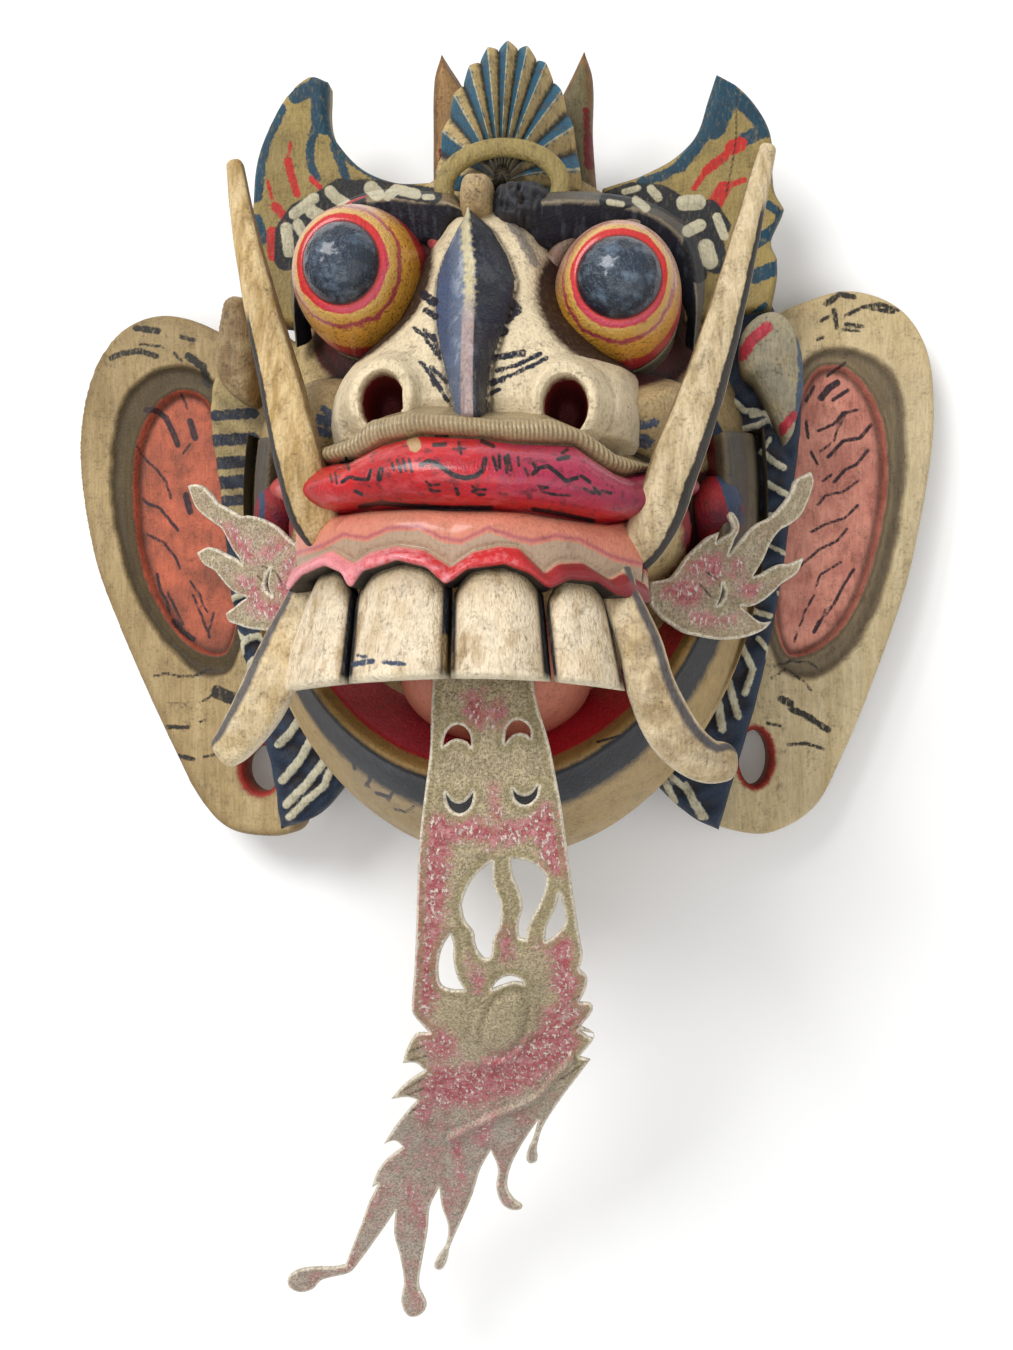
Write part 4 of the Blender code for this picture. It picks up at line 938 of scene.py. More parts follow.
# each control place: a line, the line below it, the share of the way between them, millimetres up and outwards
muzzleControls = [("bandTop", "bandTop", 0, 10, -42), ("bandTop", "bandTop", 0, 7, -26),
    ("bandTop", "bandTop", 0, 3, -12), ("bandTop", "bandTop", 0, 0.6, -5), ("bandTop", "bandTop", 0, -0.5, -2.0),
    ("bandTop", "lipTop", 0.5, 0, -0.8), ("bandTop", "lipTop", 0.86, 0, -2.2), ("lipTop", "lipTop", 0, 0, -5.2),
    ("lipTop", "lipTop", 0, -0.9, -2.4), ("lipTop", "lipLow", 0.18, 0, 2.6), ("lipTop", "lipLow", 0.42, 0, 6.6),
    ("lipTop", "lipLow", 0.65, 0, 7.2), ("lipTop", "lipLow", 0.86, 0, 4.4), ("lipLow", "lipLow", 0, 0.9, 0.6),
    ("lipLow", "lipLow", 0, -0.2, -4.8), ("lipLow", "gumTop", 0.1, 0, -1.6), ("lipLow", "gumTop", 0.4, 0, 1.2),
    ("lipLow", "gumTop", 0.8, 0, 1.6), ("gumTop", "gumTop", 0, 0.5, 1.0), ("gumTop", "gumTop", 0, -0.5, 2.4),
    ("gumTop", "gumLow", 0.5, 0, 5.2), ("gumLow", "gumLow", 0, 0.9, 5.6), ("gumLow", "gumLow", 0, -0.1, 3.8),
    ("gumLow", "gumLow", 0, -0.7, -1.5), ("gumLow", "gumLow", 0, -0.2, -10), ("gumLow", "gumLow", 0, 3, -22),
    ("gumLow", "gumLow", 0, 14, -40), ("gumLow", "gumLow", 0, 24, -46)]


def makeMuzzle():
    columns, rows = muzzle["columns"], muzzle["rows"]
    count = len(muzzleControls)
    # the gum and the skin above it stop short of the lip at both ends
    low = np.clip((np.arange(count) - 13) / 2, 0, 1)[None, :]
    full = np.linspace(-1, 1, columns)[:, None]
    phi = np.radians(muzzle["reach"] * full * (1 - low * np.where(full < 0, *muzzle["short"])))
    x0, z0 = 2 + muzzle["spread"] * np.sin(phi), 88 + muzzle["front"] * np.cos(phi)
    turn = math.radians(camera["turn"])
    cx, cz = camera["distance"] * math.sin(turn), camera["distance"] * math.cos(turn)
    depth = -((x0 - cx) * math.sin(turn) + (z0 - cz) * math.cos(turn))
    u = seen(places(x0, 50, z0).reshape(-1, 3))[:, 0].reshape(x0.shape)
    lines = {}
    for name in ("bandTop", "lipTop", "lipLow", "gumTop", "gumLow"):
        xs, ys = np.array(muzzle[name], float).T
        v = (np.interp(u - 2, xs, ys) + np.interp(u, xs, ys) + np.interp(u + 2, xs, ys)) / 3
        lines[name] = (camera["middle"][1] - v) / camera["focal"] * depth
    y = np.stack([lines[a][:, k] * (1 - share) + lines[b][:, k] * share + up
                  for k, (a, b, share, up, off) in enumerate(muzzleControls)], 1)
    off = np.array([control[4] for control in muzzleControls], float)[None, :]
    off = np.where(off > 0, off * (1 - 0.3 * np.abs(full) ** 4), off)
    share = np.linspace(0, count, rows, endpoint=False)
    y, off, phi = np.moveaxis(roundLoop(places(y, off, phi), share), 2, 0)
    u = u.mean(1)[:, None]
    onBand = np.clip(1 - np.abs(share - 5) / 1.6, 0, 1)[None, :]
    flute = np.sin(u * 1.55 + y * 0.35 + np.sin(u * 0.05) * 3) * onBand
    off = off + 0.26 * flute

    def marks(points, found):
        return {"side": points[:, 0], "stripe": below(points, muzzle["stripe"]),
                "signs": painted(points, muzzle["marks"]), "chip": painted(points, muzzle["chip"])}

    grid = places(2 + (muzzle["spread"] + off) * np.sin(phi), y, 88 + (muzzle["front"] + off) * np.cos(phi))
    tube("upper_lip", grid, lipFinish(), marks={"band": (share, (0, 0)), "flute": (flute, (0, 0))}, marksOf=marks)


def lipFinish():
    finish = Finish("lip paint")
    fine, side = finish.noise(420, 4) - 0.5, finish.mark("side")
    band, stripe = finish.mark("band") + fine * 0.35, finish.mark("stripe") + fine * 1.2
    red = finish.over(
        "c9161d", (((finish.noise(90, 3) - 0.5) * 3 + 0.5).clip(), "ab141c"),
        (finish.spots(0.52, 6, 240, 4, 0.6, (0.4, 1.0, 1.0)) * 0.5, "dc5f66"),
        (((side + fine * 60 + 4) * 0.035).clip() * ((12.6 - band) * 0.7).clip() * 0.85, "a02c50"),
        (finish.spots(0.56, 9, 330, 4) * 0.7, "571824"), (((side - 38) * 0.06).clip() * 0.6, "6d1a35"))
    salmon = finish.mix(finish.spots(0.45, 3, 150, 4) * 0.6, "cd8068", "bf6657")
    # painted highlight: the red gum is patched with pink where it catches the light, more towards its left; it is
    # painted darker towards its right end
    gum = finish.over("c9282c", ((fine * 3 + side * -0.025 + 0.2).clip(), "e08a90"),
                      (((side - 16) * 0.07).clip() * 0.85, "6d1820"))
    lower = ((band - 15.5) * 3).clip()
    colour = finish.over(
        "a8946f", ((0.4 - finish.mark("flute") * 0.9 + fine * 2).clip() * 0.55, "5f4c34"),
        (((band - 7.1) * 5).clip(), red), (((band - 14.2) * 5).clip(), salmon),
        ((1 - abs(band - 14.2) * 2.4).clip() * 0.8, "3a1a1c"),
        ((1.1 - abs(stripe + 1.6)).clip() * lower * 0.75, "a04c5c"),
        (((stripe + 0.5) * 2).clip() * lower * 0.85, "a5947b"), (((band - 18.7) * 3.2).clip(), gum),
        ((1 - abs(band - 18.75) * 2.5).clip() * 0.6, "d98a74"), (((band - 21.4) * 2.5).clip(), "1a1518"))
    colour = finish.brush(colour, ("chip", "b79468", 0.5, 0.0), ("signs", "14121a", 0.3, 0.45, 3.0))
    onLip = ((band - 7.1) * 5).clip() * ((14.3 - band) * 5).clip()
    return finish.worn(colour, 0.5, gloss=onLip * 0.24, depth=0.0003, coat=0.45, coatRough=0.18)


makeMuzzle()


# Teeth and fangs

teeth = {
    "rows": 96, "across": 64, "thick": 16, "gap": 0.7, "tops": [31.5, 33.2, 31.6, 28.6],
    "edges": [(-49.0, -62.0), (-32.1, -33.3), (-2.4, -2.1), (23.9, 26.7), (42.2, 47.7)],
    "chips": [(0.9, 354, 664, 372, 661), (0.7, 384, 662, 404, 664), (0.5, 358, 655, 366, 657)],
    "stains": [(1.6, 445, 640, 447, 668), (1.6, 620, 640, 628, 680)]}


def toothFront(x, y):
    # the bow of the row of teeth
    return 168 - 31 * ((x - 2) / 56) ** 2 - 0.30 * y


def toothFinish(name):
    finish = Finish("tooth paint " + name)
    pore = finish.noise(1250, 3, 0.62, (1.0, 0.10, 1.0))
    broad = finish.noise(130, 4, 0.6, (1.0, 0.4, 1.0))
    side, root = finish.mark("side"), finish.mark("root")
    colour = finish.over(
        finish.ramp(broad, [(0.36, "d6c19f"), (0.54, "eddcc0"), (0.70, "c0a57c")]),
        (((0.44 - pore) * 7).clip() * 0.55, "6f5230"),
        # the top of each tooth, under the gum, and its sides are painted browner, partly grime and partly painted
        # shade
        ((root * 1.3 + (broad - 0.5) * 1.6 + (pore - 0.5)).clip() * 0.7, "7d6238"),
        ((side * 2.4 - 0.2 + (broad - 0.5) * 1.2).clip() * 0.6, "8c6c42"),
        ((side * 4.2 - 1.3 + (pore - 0.5) * 0.6).clip(), "10141d"),
        ((root * 5 - 3.9 + (broad - 0.5)).clip(), "151a24"),
        ((finish.mark("tip") + (pore - 0.5) * 0.6).clip() * 0.6, "efe4c6"))
    colour = finish.brush(colour, ("stains", "7d6848", 1.6, 0.4, 0.8), ("chips", "39475c", 0.8, 0.7))
    return finish.worn(colour, 0.75, rise=pore * 0.8, depth=0.0005)


def makeTooth(number):
    (topLeft, lowLeft), (topRight, lowRight) = teeth["edges"][number - 1:number + 1]
    t, v = np.linspace(-1, 1, teeth["across"])[None, :], np.linspace(0, 1, teeth["rows"])[:, None]
    gap = teeth["gap"]
    left, right = topLeft + (lowLeft - topLeft) * v + gap, topRight + (lowRight - topRight) * v - gap
    x = (left + right) / 2 + (right - left) / 2 * t
    top = teeth["tops"][number - 1] - 8.5 * np.abs(t) ** 3
    low = -1 - np.where(x < 5, 0.0011, 0.0021) * (x - 5) ** 2
    y = top + (low - top) * v
    front = toothFront(x, y) - 5.0 + 5.6 * (1 - np.abs(t) ** 3) - 3.5 * np.clip(1 - v / 0.22, 0, 1) ** 2
    front = front - 2.4 * np.clip((v - 0.93) / 0.07, 0, 1) ** 2 + 0.25 * ripple(x, y, 7, number)
    back = toothFront(x, y) - teeth["thick"]
    grid = np.concatenate([places(x, y, front), places(x, y, back)[:, ::-1]], 1)

    def strokes(points, found):
        return {mark: painted(points, teeth[mark]) for mark in ("chips", "stains")}

    side, tip = np.abs(np.concatenate([t, -t], 1)) ** 8, np.clip((v - 0.90) / 0.10, 0, 1)
    marks = {"side": (side, (0, 0)), "tip": (tip, (0, 1)), "root": (np.clip(1 - v / 0.3, 0, 1), (1, 0))}
    tube("tooth_%d" % number, grid, toothFinish(str(number)), None, marks, strokes)


for number in (1, 2, 3, 4):
    makeTooth(number)

fangs = {
    "rows": 130, "around": 60, "thick": 11, "worn": {"left": 0.15, "right": 0.75},
    "left": [(-50, 32.5, 118), (-51.5, 23.7, 121), (-56, 10.5, 126), (-60, -1.5, 131), (-64.5, -11.2, 133),
        (-71.5, -20.4, 130), (-76.7, -24.6, 127)],
    "right": [(43.7, 31.7, 134), (46.1, 22.1, 137), (51.4, 8.8, 138.5), (54.9, -4.4, 138.5), (61.6, -17.7, 135),
        (70.6, -25.3, 130), (79.7, -25.4, 126)],
    "widths": {"left": (10, 12, 14, 15.5, 15.5, 13.5, 10), "right": (10, 11.5, 13, 14.5, 15.5, 14, 11)}}


def makeFang(side, way):
    rows = fangs["rows"]
    width = smoothPath([(k * 10, w, 0) for k, w in enumerate(fangs["widths"][side])], rows)[:, 1:2]
    end = np.sqrt(np.clip(1 - np.clip((np.linspace(0, 1, rows)[:, None] - 0.94) / 0.062, 0, 1) ** 2, 0.03, 1))

    def section(t, a):
        return (width * end / 2 * np.cos(a) * squareRing(a, 3.2),
                np.minimum(width, fangs["thick"]) * end / 2 * np.sin(a) * squareRing(a, 3.2))

    def marks(points, found):
        return {"across": -way * np.cos(found["around"]), "front": np.sin(found["around"])}

    finish = Finish("fang paint " + side)
    worn = fangs["worn"][side]
    pore = finish.noise(900, 4, 0.66, (1.0, 0.3, 1.0))
    wear = ((finish.noise(150, 4) - 0.42 + worn * 0.2) * 3).clip() * (finish.mark("front") * 2 - 0.8).clip()
    across = finish.mark("across") + (finish.noise(260, 3) - 0.5) * 0.14
    line = (1 - abs(across - 0.66) * 4.5).clip() * (finish.mark("front") * 3 + 0.5).clip()
    colour = finish.over(
        finish.ramp(finish.noise(120, 4), [(0.34, "c2a97c"), (0.5, "d8c29a"), (0.66, "e2cfab")]),
        (((0.45 - pore) * 6).clip() * 0.55, "725632"), (wear * (0.35 + 0.4 * worn), "6f5636"),
        ((line * 1.8).clip() * 0.85, "263044"), (((-0.72 - across) * 6).clip() * 0.6, "ecdfc4"))
    sweep("fang_" + side, smoothPath(fangs[side], rows), section, fangs["around"],
          finish.worn(colour, 0.8, rise=pore * 0.6), marks)


makeFang("left", -1)
makeFang("right", 1)


# Lower jaw: a deep lip in a half ellipse, with the mouth's floor and the root of the tongue

jaw = {
    "steps": 420, "rows": 112, "middle": (3, 62), "level": 80, "rise": 39,
    # across, down and up of each corner, and whether its height follows the jaw's top
    "section": [(88, 116, 0, 0), (92, 125, 52, 0), (91, 121, -40, 1), (88, 113, -26, 1), (84, 106, -13, 1),
        (80, 99, -3, 1), (78.5, 96.5, 0.6, 1), (76, 94, 1, 1), (74, 91.5, -3, 1), (72, 89, -8, 1), (68, 83, -19, 1),
        (63, 78, -30, 1), (56, 70, -42, 1), (50, 60, 34, 0), (52, 62, 20, 0), (70, 92, 10, 0)],
    "bands": [(0.0, "b1976a"), (0.225, "ab905f"), (0.25, "141b26"), (0.385, "0f151f"), (0.41, "8f713f"),
        (0.5, "9c7b45"), (0.52, "c41f33"), (0.72, "b41a30"), (0.88, "7d1420"), (1.0, "5a1018")],
    "whiskers": [(0.62, 367, 755, 370, 780, 366, 785), (0.6, 352, 755, 355, 769),
        (0.6, 376, 793, 390, 797, 392, 793), (0.33, 390, 801, 384, 796), (0.42, 395, 809, 406, 812, 414, 806),
        (0.33, 366, 784, 370, 788), (0.33, 344, 744, 347, 755), (0.48, 556, 776, 563, 789, 574, 797),
        (0.4, 560, 784, 571, 781, 589, 782), (0.4, 579, 768, 600, 760, 613, 768), (0.32, 592, 765, 609, 759),
        (0.4, 597, 742, 626, 734), (0.32, 602, 747, 618, 739, 626, 745), (0.32, 584, 776, 592, 768, 605, 765)]}


def makeJaw():
    angle = np.linspace(-0.06 * math.pi, 1.06 * math.pi, jaw["steps"])[:, None]
    cx, cy = jaw["middle"]
    top = jaw["level"] + jaw["rise"] * np.maximum(np.sin(angle), 0) ** 1.2
    ax, ay, level, tied = np.array(jaw["section"], float).T[:, None, :]
    share = np.linspace(0, len(jaw["section"]), jaw["rows"], endpoint=False)
    grid = roundLoop(places(cx - ax * np.cos(angle), cy - ay * np.sin(angle), level + top * tied), share)
    grid[:, :, 2] = np.maximum(grid[:, :, 2], 0)

    def marks(points, found):
        return {"whiskers": painted(points, jaw["whiskers"]), "across": points[:, 0], "upper": points[:, 1] - 34}

    tube("lower_jaw", grid, jawFinish(), None, {"band": (share, (0, 0))}, marks)


def jawFinish():
    finish = Finish("jaw paint")
    band = finish.mark("band") + (finish.noise(150, 3) - 0.5) * 0.3 + (finish.noise(600, 3) - 0.5) * 0.18
    # painted highlight: a pink patch on the left of the red mouth inside
    jawHighlight = ((-6 - finish.mark("across")) * 0.05).clip() * ((band - 8.3) * 2).clip() * ((12.5 - band) * 2).clip()
    upper = (finish.mark("upper") * 0.09 + (finish.noise(90, 4) - 0.5) * 2.5).clip()
    shade = finish.mix(((band - 8.0) * 2).clip(), "4d4940", "5b1226")
    colour = finish.over(finish.ramp(band * (1 / 16), jaw["bands"]), (jawHighlight * 0.4, "de7488"), (upper * 0.85, shade))
    colour = finish.brush(colour, ("whiskers", "1a1e26", 0.25, 0.2, 3.0))
    wet = ((band - 8.3) * 1.5).clip() * ((15 - band) * 1.5).clip()
    return finish.worn(colour, 0.7, gloss=wet * 0.32, coat=0.12)


makeJaw()
t, a = np.linspace(0, math.pi, 60)[1:-1, None], circle(90)[None, :]
tube("tongue_root", places(5 + 31 * np.sin(t) * np.cos(a), 22 * np.sin(t) * np.sin(a), 92 + 44 * np.cos(t)),
     woodFinish("tongue root paint", "salmon", much=0.6), [(5, 0, 136), (5, 0, 48)])


# Crown: a cockle fan on a plain arch between two spikes

fan = {
    "ribs": 13, "high": 3.4, "columns": 430, "rows": 48, "turns": (-12, 192), "middle": (7, 158), "reach": (24, 53),
    "level": 98, "drop": 25, "foot": 30}


def makeFan():
    columns, rows = fan["columns"], fan["rows"]
    angle = np.radians(np.linspace(*fan["turns"], columns))[None, :]
    share = np.linspace(0.12, 1, rows)[:, None]
    rib = np.linspace(0, fan["ribs"], columns)[None, :]
    ridge = 1 - np.abs((rib % 1) * 2 - 1)
    reach = share * (1 + 0.035 * np.sqrt(ridge) * share**6)
    (cx, cy), (wide, tall) = fan["middle"], fan["reach"]
    z = fan["level"] - fan["drop"] * share**1.4 + fan["high"] * (ridge - 0.15) * np.clip(share * 2.4, 0, 1)
    top = places(cx + wide * reach * np.cos(angle), cy + tall * reach * np.sin(angle), z)
    tip = top[0].mean(0)
    foot, under = top[-1].copy(), tip.copy()
    foot[:, 2] = under[2] = fan["foot"]
    points = np.vstack([top.reshape(-1, 3), foot, under, tip])
    marks = {"rib": np.concatenate([np.tile(rib[0], rows), rib[0], [0, 0]]),
             "share": np.concatenate([np.repeat(share[:, 0], columns), np.full(columns, 1.2), [1.2, 0]])}
    total = rows + 1
    last, first = np.arange(columns) + rows * columns, np.arange(columns)
    pole = len(points) - 2
    sets = [gridFaces(total, columns), np.stack([last[1:], last[:-1], np.full(columns - 1, pole)], 1),
            np.stack([first[:-1], first[1:], np.full(columns - 1, pole + 1)], 1)]
    for edge in (0, columns - 1):
        ring = np.append(edge + np.arange(total) * columns, [pole, pole + 1])
        sets.append(ring[None, :] if edge else ring[None, ::-1])
    makePiece("crown_fan", points, sets, fanFinish(), marks)


def fanFinish():
    finish = Finish("fan paint")
    phase, share = finish.sum("FRACT", finish.mark("rib"), 0.0), finish.mark("share")
    fine, toRidge = finish.noise(500, 4) - 0.5, abs(phase - 0.5)
    colour = finish.over(
        "1b5068", (((0.46 - phase) * 14 + fine * 6 + 0.5).clip(), "a8905f"),
        ((1.1 - abs(toRidge - 0.5) * 7 + fine * 2).clip() * 0.92, "14140f"),
        ((1 - toRidge * 16 + fine * 2).clip() * 0.55, "d8c48e"), (((0.36 - share) * 12).clip() * 0.8, "3b3326"),
        (finish.spots(0.56, 8, 260, 4) * 0.6, "4a3d28"), (((share - 1.02) * 20).clip(), "75664a"))
    return finish.worn(colour, 0.8)


makeFan()
turns = np.radians(-14 + 20.8 * np.arange(11))
path = smoothPath(places(7 + 19 * np.cos(turns), 157 + 13 * np.sin(turns), 96.0), 120)
sweep("fan_arch", path, lambda t, a: (3.2 * np.cos(a) + 0 * t, 2.2 * np.sin(a) + 0 * t), 24,
      woodFinish("arch paint", "olive"))

boards = {
    "spike_left": [(-22, 150, 1), (-22.5, 190), (-22, 212), (-19.5, 222, 1), (-11, 208), (-2, 186), (2, 150, 1)],
    "spike_right": [(38, 150, 1), (34.5, 190), (34.5, 211), (31.5, 221, 1), (23, 204), (15, 186), (10, 150, 1)],
    "fin_left": [(-91, 128, 1), (-89, 152), (-88, 168), (-86, 187), (-81, 199), (-75, 209), (-67, 215),
        (-60.5, 213, 1), (-60, 197), (-54, 187), (-46, 180), (-35, 176), (-20, 176, 1), (-30, 120, 1)],
    "fin_right": [(97, 128, 1), (99, 139), (99, 146, 1), (97, 152), (101.5, 163, 1), (98, 170), (97, 188),
        (93.5, 197), (86, 206), (78, 211, 1), (75, 202), (71, 190), (63, 182), (51, 176), (38, 172, 1), (30, 120, 1)],
    "hair_left": [(-90, 134, 1), (-100, 118), (-105, 98), (-101, 64), (-97, 28), (-89, -8), (-82, -36),
        (-79, -56, 1), (-66, -51), (-55, -39), (-44, -26, 1), (-60, 40), (-70, 118, 1)],
    "hair_right": [(96, 134, 1), (104, 118), (108, 98), (105, 64), (100, 28), (93, -6), (85, -34), (79, -55, 1),
        (69, -50), (56, -38), (45, -24, 1), (62, 40), (72, 118, 1)],
    "leaf_left": [(-87, 132), (-92, 134.2), (-95.2, 132.5), (-96.7, 126.9), (-98.1, 118.1), (-98.5, 109.3),
        (-95.6, 102.2), (-90.6, 97.6), (-85.5, 96.8), (-84.1, 114.3)],
    "leaf_right": [(85.9, 116), (89.3, 121.7), (94.7, 124.7), (99.7, 123.9), (103.7, 119), (106.4, 110.5),
        (107.1, 98.6), (105.1, 89.4), (101.7, 80.6), (98.7, 85.1), (94.7, 93.7), (90.3, 101.2), (86.2, 105.4)]}

finPaint = {
    "left": {
        "red": [(0.55, 291, 142, 289, 154), (1.2, 288, 160, 292, 178, 297, 194), (0.55, 268, 181, 272, 199),
            (1.38, 275, 206, 286, 218), (1.66, 272, 232, 273, 256), (0.83, 311, 178, 320, 188)],
        "blue": [(1.29, 316, 124, 310, 148, 311, 166, 317, 178), (1.38, 334, 145, 342, 166, 348, 184),
            (2.03, 280, 110, 265, 139, 259, 166, 256, 196), (1.85, 256, 220, 263, 238),
            (4.6, 324, 84, 326, 100, 326, 120), (2.4, 296, 96, 318, 84),
            (1.29, 329, 130, 347, 157, 371, 174, 398, 184), (2.4, 316, 90, 320, 85)],
        "crack": [(0.2, 330, 120, 332, 140)]},
    "right": {
        "red": [(0.92, 694, 188, 707, 170), (1.48, 707, 170, 725, 156), (2.22, 732, 148, 740, 144),
            (2.22, 716, 202, 724, 188), (0.92, 724, 187, 744, 180)],
        "blue": [(4.4, 722, 84, 722, 104, 712, 125), (2.2, 722, 84, 738, 98), (2.03, 712, 121, 695, 148, 680, 166),
            (1.48, 680, 166, 662, 176, 641, 182), (2.4, 740, 100, 758, 118, 766, 130), (2.22, 746, 139, 764, 130),
            (2.08, 754, 243, 775, 230), (2.24, 754, 277, 778, 267), (1.28, 769, 205, 782, 215, 775, 228),
            (1.12, 744, 322, 765, 306)],
        "crack": [(0.3, 737, 97, 736, 139, 732, 166, 726, 196)]},
    "spike": {"left": [(0.6, 440, 150, 446, 190)], "right": [(1.6, 588, 140, 590, 165), (1.0, 586, 110, 588, 140)]}}


def makeSpike(side):
    finish = woodFinish("worn spike wood " + side, "moss" if side == "right" else "rawWood",
                        (("rim", "brown", 2.0, 0.35), ("red", "deepRed", 1.0, 0.35)), dirt="2f1c10")
    board("crown_spike_" + side, boards["spike_" + side], 1.4,
          lambda x, y, gap: 49 - rounded(gap, 6) + 1.2 * ripple(x, y * 0.3, 11, 5), flatBack(38, 1.5), finish,
          {"red": finPaint["spike"][side]}, lambda points, gap: {"rim": onFront(2.0 - gap)}, spacing=1.2)


def makeFin(side):
    finish = Finish("fin paint " + side)
    colour = finish.over(finish.mix(finish.spots(0.45, 3, 70, 4) * 0.6, "94804c", "6b5c38"),
                         ((finish.mark("edge") * -1.4 + 1.6).clip() * 0.45, "4b4631"))
    colour = finish.brush(colour, ("blue", "123a4d", 0.9, 0.4), ("red", "b4241f", 0.8, 0.4), *browStrokes,
                          ("crack", "1b1611", 0.1, 0.0))
    board("horn_fin_" + side, boards["fin_" + side], 1.2,
          lambda x, y, gap: 47 - rounded(gap, 3) + 0.6 * ripple(x, y, 16, 8), flatBack(34, 1.5),
          finish.worn(colour, 0.8, rise=(finish.mark("pebbles") * 0.5).clip() * 1.5), finPaint[side],
          lambda points, gap: browMarks(points, np.arange(len(points)) < len(points) // 2), spacing=1.05)


for side in ("left", "right"):
    makeSpike(side)
    makeFin(side)

hair = {
    "relief": 1.3,
    "left": {
        "strands": [(1.33, 298, 701, 301, 717, 290, 734, 279, 744), (1.33, 309, 717, 312, 739, 298, 763, 283, 780),
            (1.33, 322, 739, 325, 761, 306, 785, 287, 804), (1.16, 330, 771, 325, 785, 306, 801, 290, 817),
            (1.0, 241, 653, 241, 644, 249, 638, 260, 636, 267, 643, 263, 654, 253, 661, 245, 669),
            (0.9, 230, 628, 245, 640), (0.9, 225, 601, 245, 594), (0.9, 232, 614, 252, 610),
            (1.0, 246, 680, 262, 668, 272, 655)],
        "bars": [(1.7, 214, 416, 254, 413), (1.9, 212, 441, 252, 438), (1.9, 210, 464, 250, 461),
            (2.0, 208, 484, 248, 481), (1.7, 208, 503, 240, 500), (1.5, 206, 521, 238, 520),
            (1.4, 222, 545, 240, 550), (1.4, 228, 570, 244, 575)]},
    "right": {
        "strands": [(1.12, 693, 685, 696, 716), (1.28, 706, 664, 719, 706, 722, 729),
            (1.12, 727, 648, 727, 677, 738, 716), (1.04, 740, 643, 753, 669, 745, 693),
            (0.8, 758, 638, 769, 651, 769, 664), (1.04, 652, 758, 665, 781, 675, 802),
            (0.96, 662, 768, 686, 789, 701, 817), (0.8, 686, 784, 696, 802, 706, 817),
            (0.96, 732, 400, 744, 411, 757, 411), (0.96, 744, 429, 757, 426, 767, 421),
            (1.04, 762, 452, 775, 463, 783, 468), (0.8, 752, 416, 765, 413, 775, 426),
            (0.96, 767, 483, 780, 491, 788, 496), (0.64, 770, 439, 765, 447), (0.64, 770, 546, 786, 554),
            (0.64, 778, 593, 788, 595), (0.9, 762, 575, 785, 566), (0.9, 750, 610, 770, 616),
            (0.8, 770, 515, 790, 520)],
        "bars": []}}


def makeHair(side):
    paint = hair[side]

    def field(x, y, z=42.3):
        return painted(places(x, y, z), paint["strands"])

    def front(x, y, gap):
        rope = 0.7 * np.sin((x * (1 if side == "left" else -1) * 0.5 + y) * 0.62)
        return 41.6 + rope + hair["relief"] * np.clip(field(x, y) + 1.0, 0, 1.4) - rounded(gap, 3)

    def marks(points, gap):
        v = seen(points)[:, 1]
        return {"strands": onFront(field(points[:, 0], points[:, 1])),
                "upper": (528 - v) / perMm if side == "left" else np.full(len(v), clear)}

    finish = Finish("painted hair " + side)
    colour = finish.mix(finish.spots(0.5, 3, 80, 3) * 0.5, "1c2c40", "2c4560")
    colour = finish.brush(colour, ("upper", "9c8a60", 2.0, 0.1, 0.4), ("bars", "212a38", 0.9, 0.3),
                          ("strands", "b9b49c", 0.6, 0.4))
    board("hair_panel_" + side, boards["hair_" + side], 1.2, front, flatBack(29.3, 1.5),
          finish.worn(colour, 0.8), {"bars": paint["bars"]}, marks, spacing=0.95)


leafPaint = {
    "left": {"base": "7b6344", "red": [], "blue": [(0.8, 222, 398, 236, 404)]},
    "right": {
        "base": "8b8571", "red": [(1.8, 741, 356, 752, 340, 767, 327), (1.5, 775, 439, 793, 416)],
        "blue": [(1.3, 783, 300, 800, 330, 803, 370, 798, 420)]}}


def makeLeaf(side):
    shape = leafPaint[side]
    finish = Finish("worn leaf paint " + side)
    colour = finish.mix(finish.spots(0.45, 4, 120, 4) * 0.5, shape["base"], "b3a27a")
    colour = finish.brush(colour, ("blue", "3b5068", 0.9, 0.3), ("red", "a5293a", 0.9, 0.3))
    board("side_leaf_" + side, boards["leaf_" + side], 1.0,
          lambda x, y, gap: 60.5 - rounded(gap, 6) + 0.3 * ripple(x, y, 9, 4), lambda x, y, gap: 36 + 0 * x,
          finish.worn(colour), {mark: shape[mark] for mark in ("red", "blue")}, spacing=0.8)


for side in ("left", "right"):
    makeHair(side)
    makeLeaf(side)


# Ears: flat boards that lean back, with a groove round a painted recess and a hole in the lobe

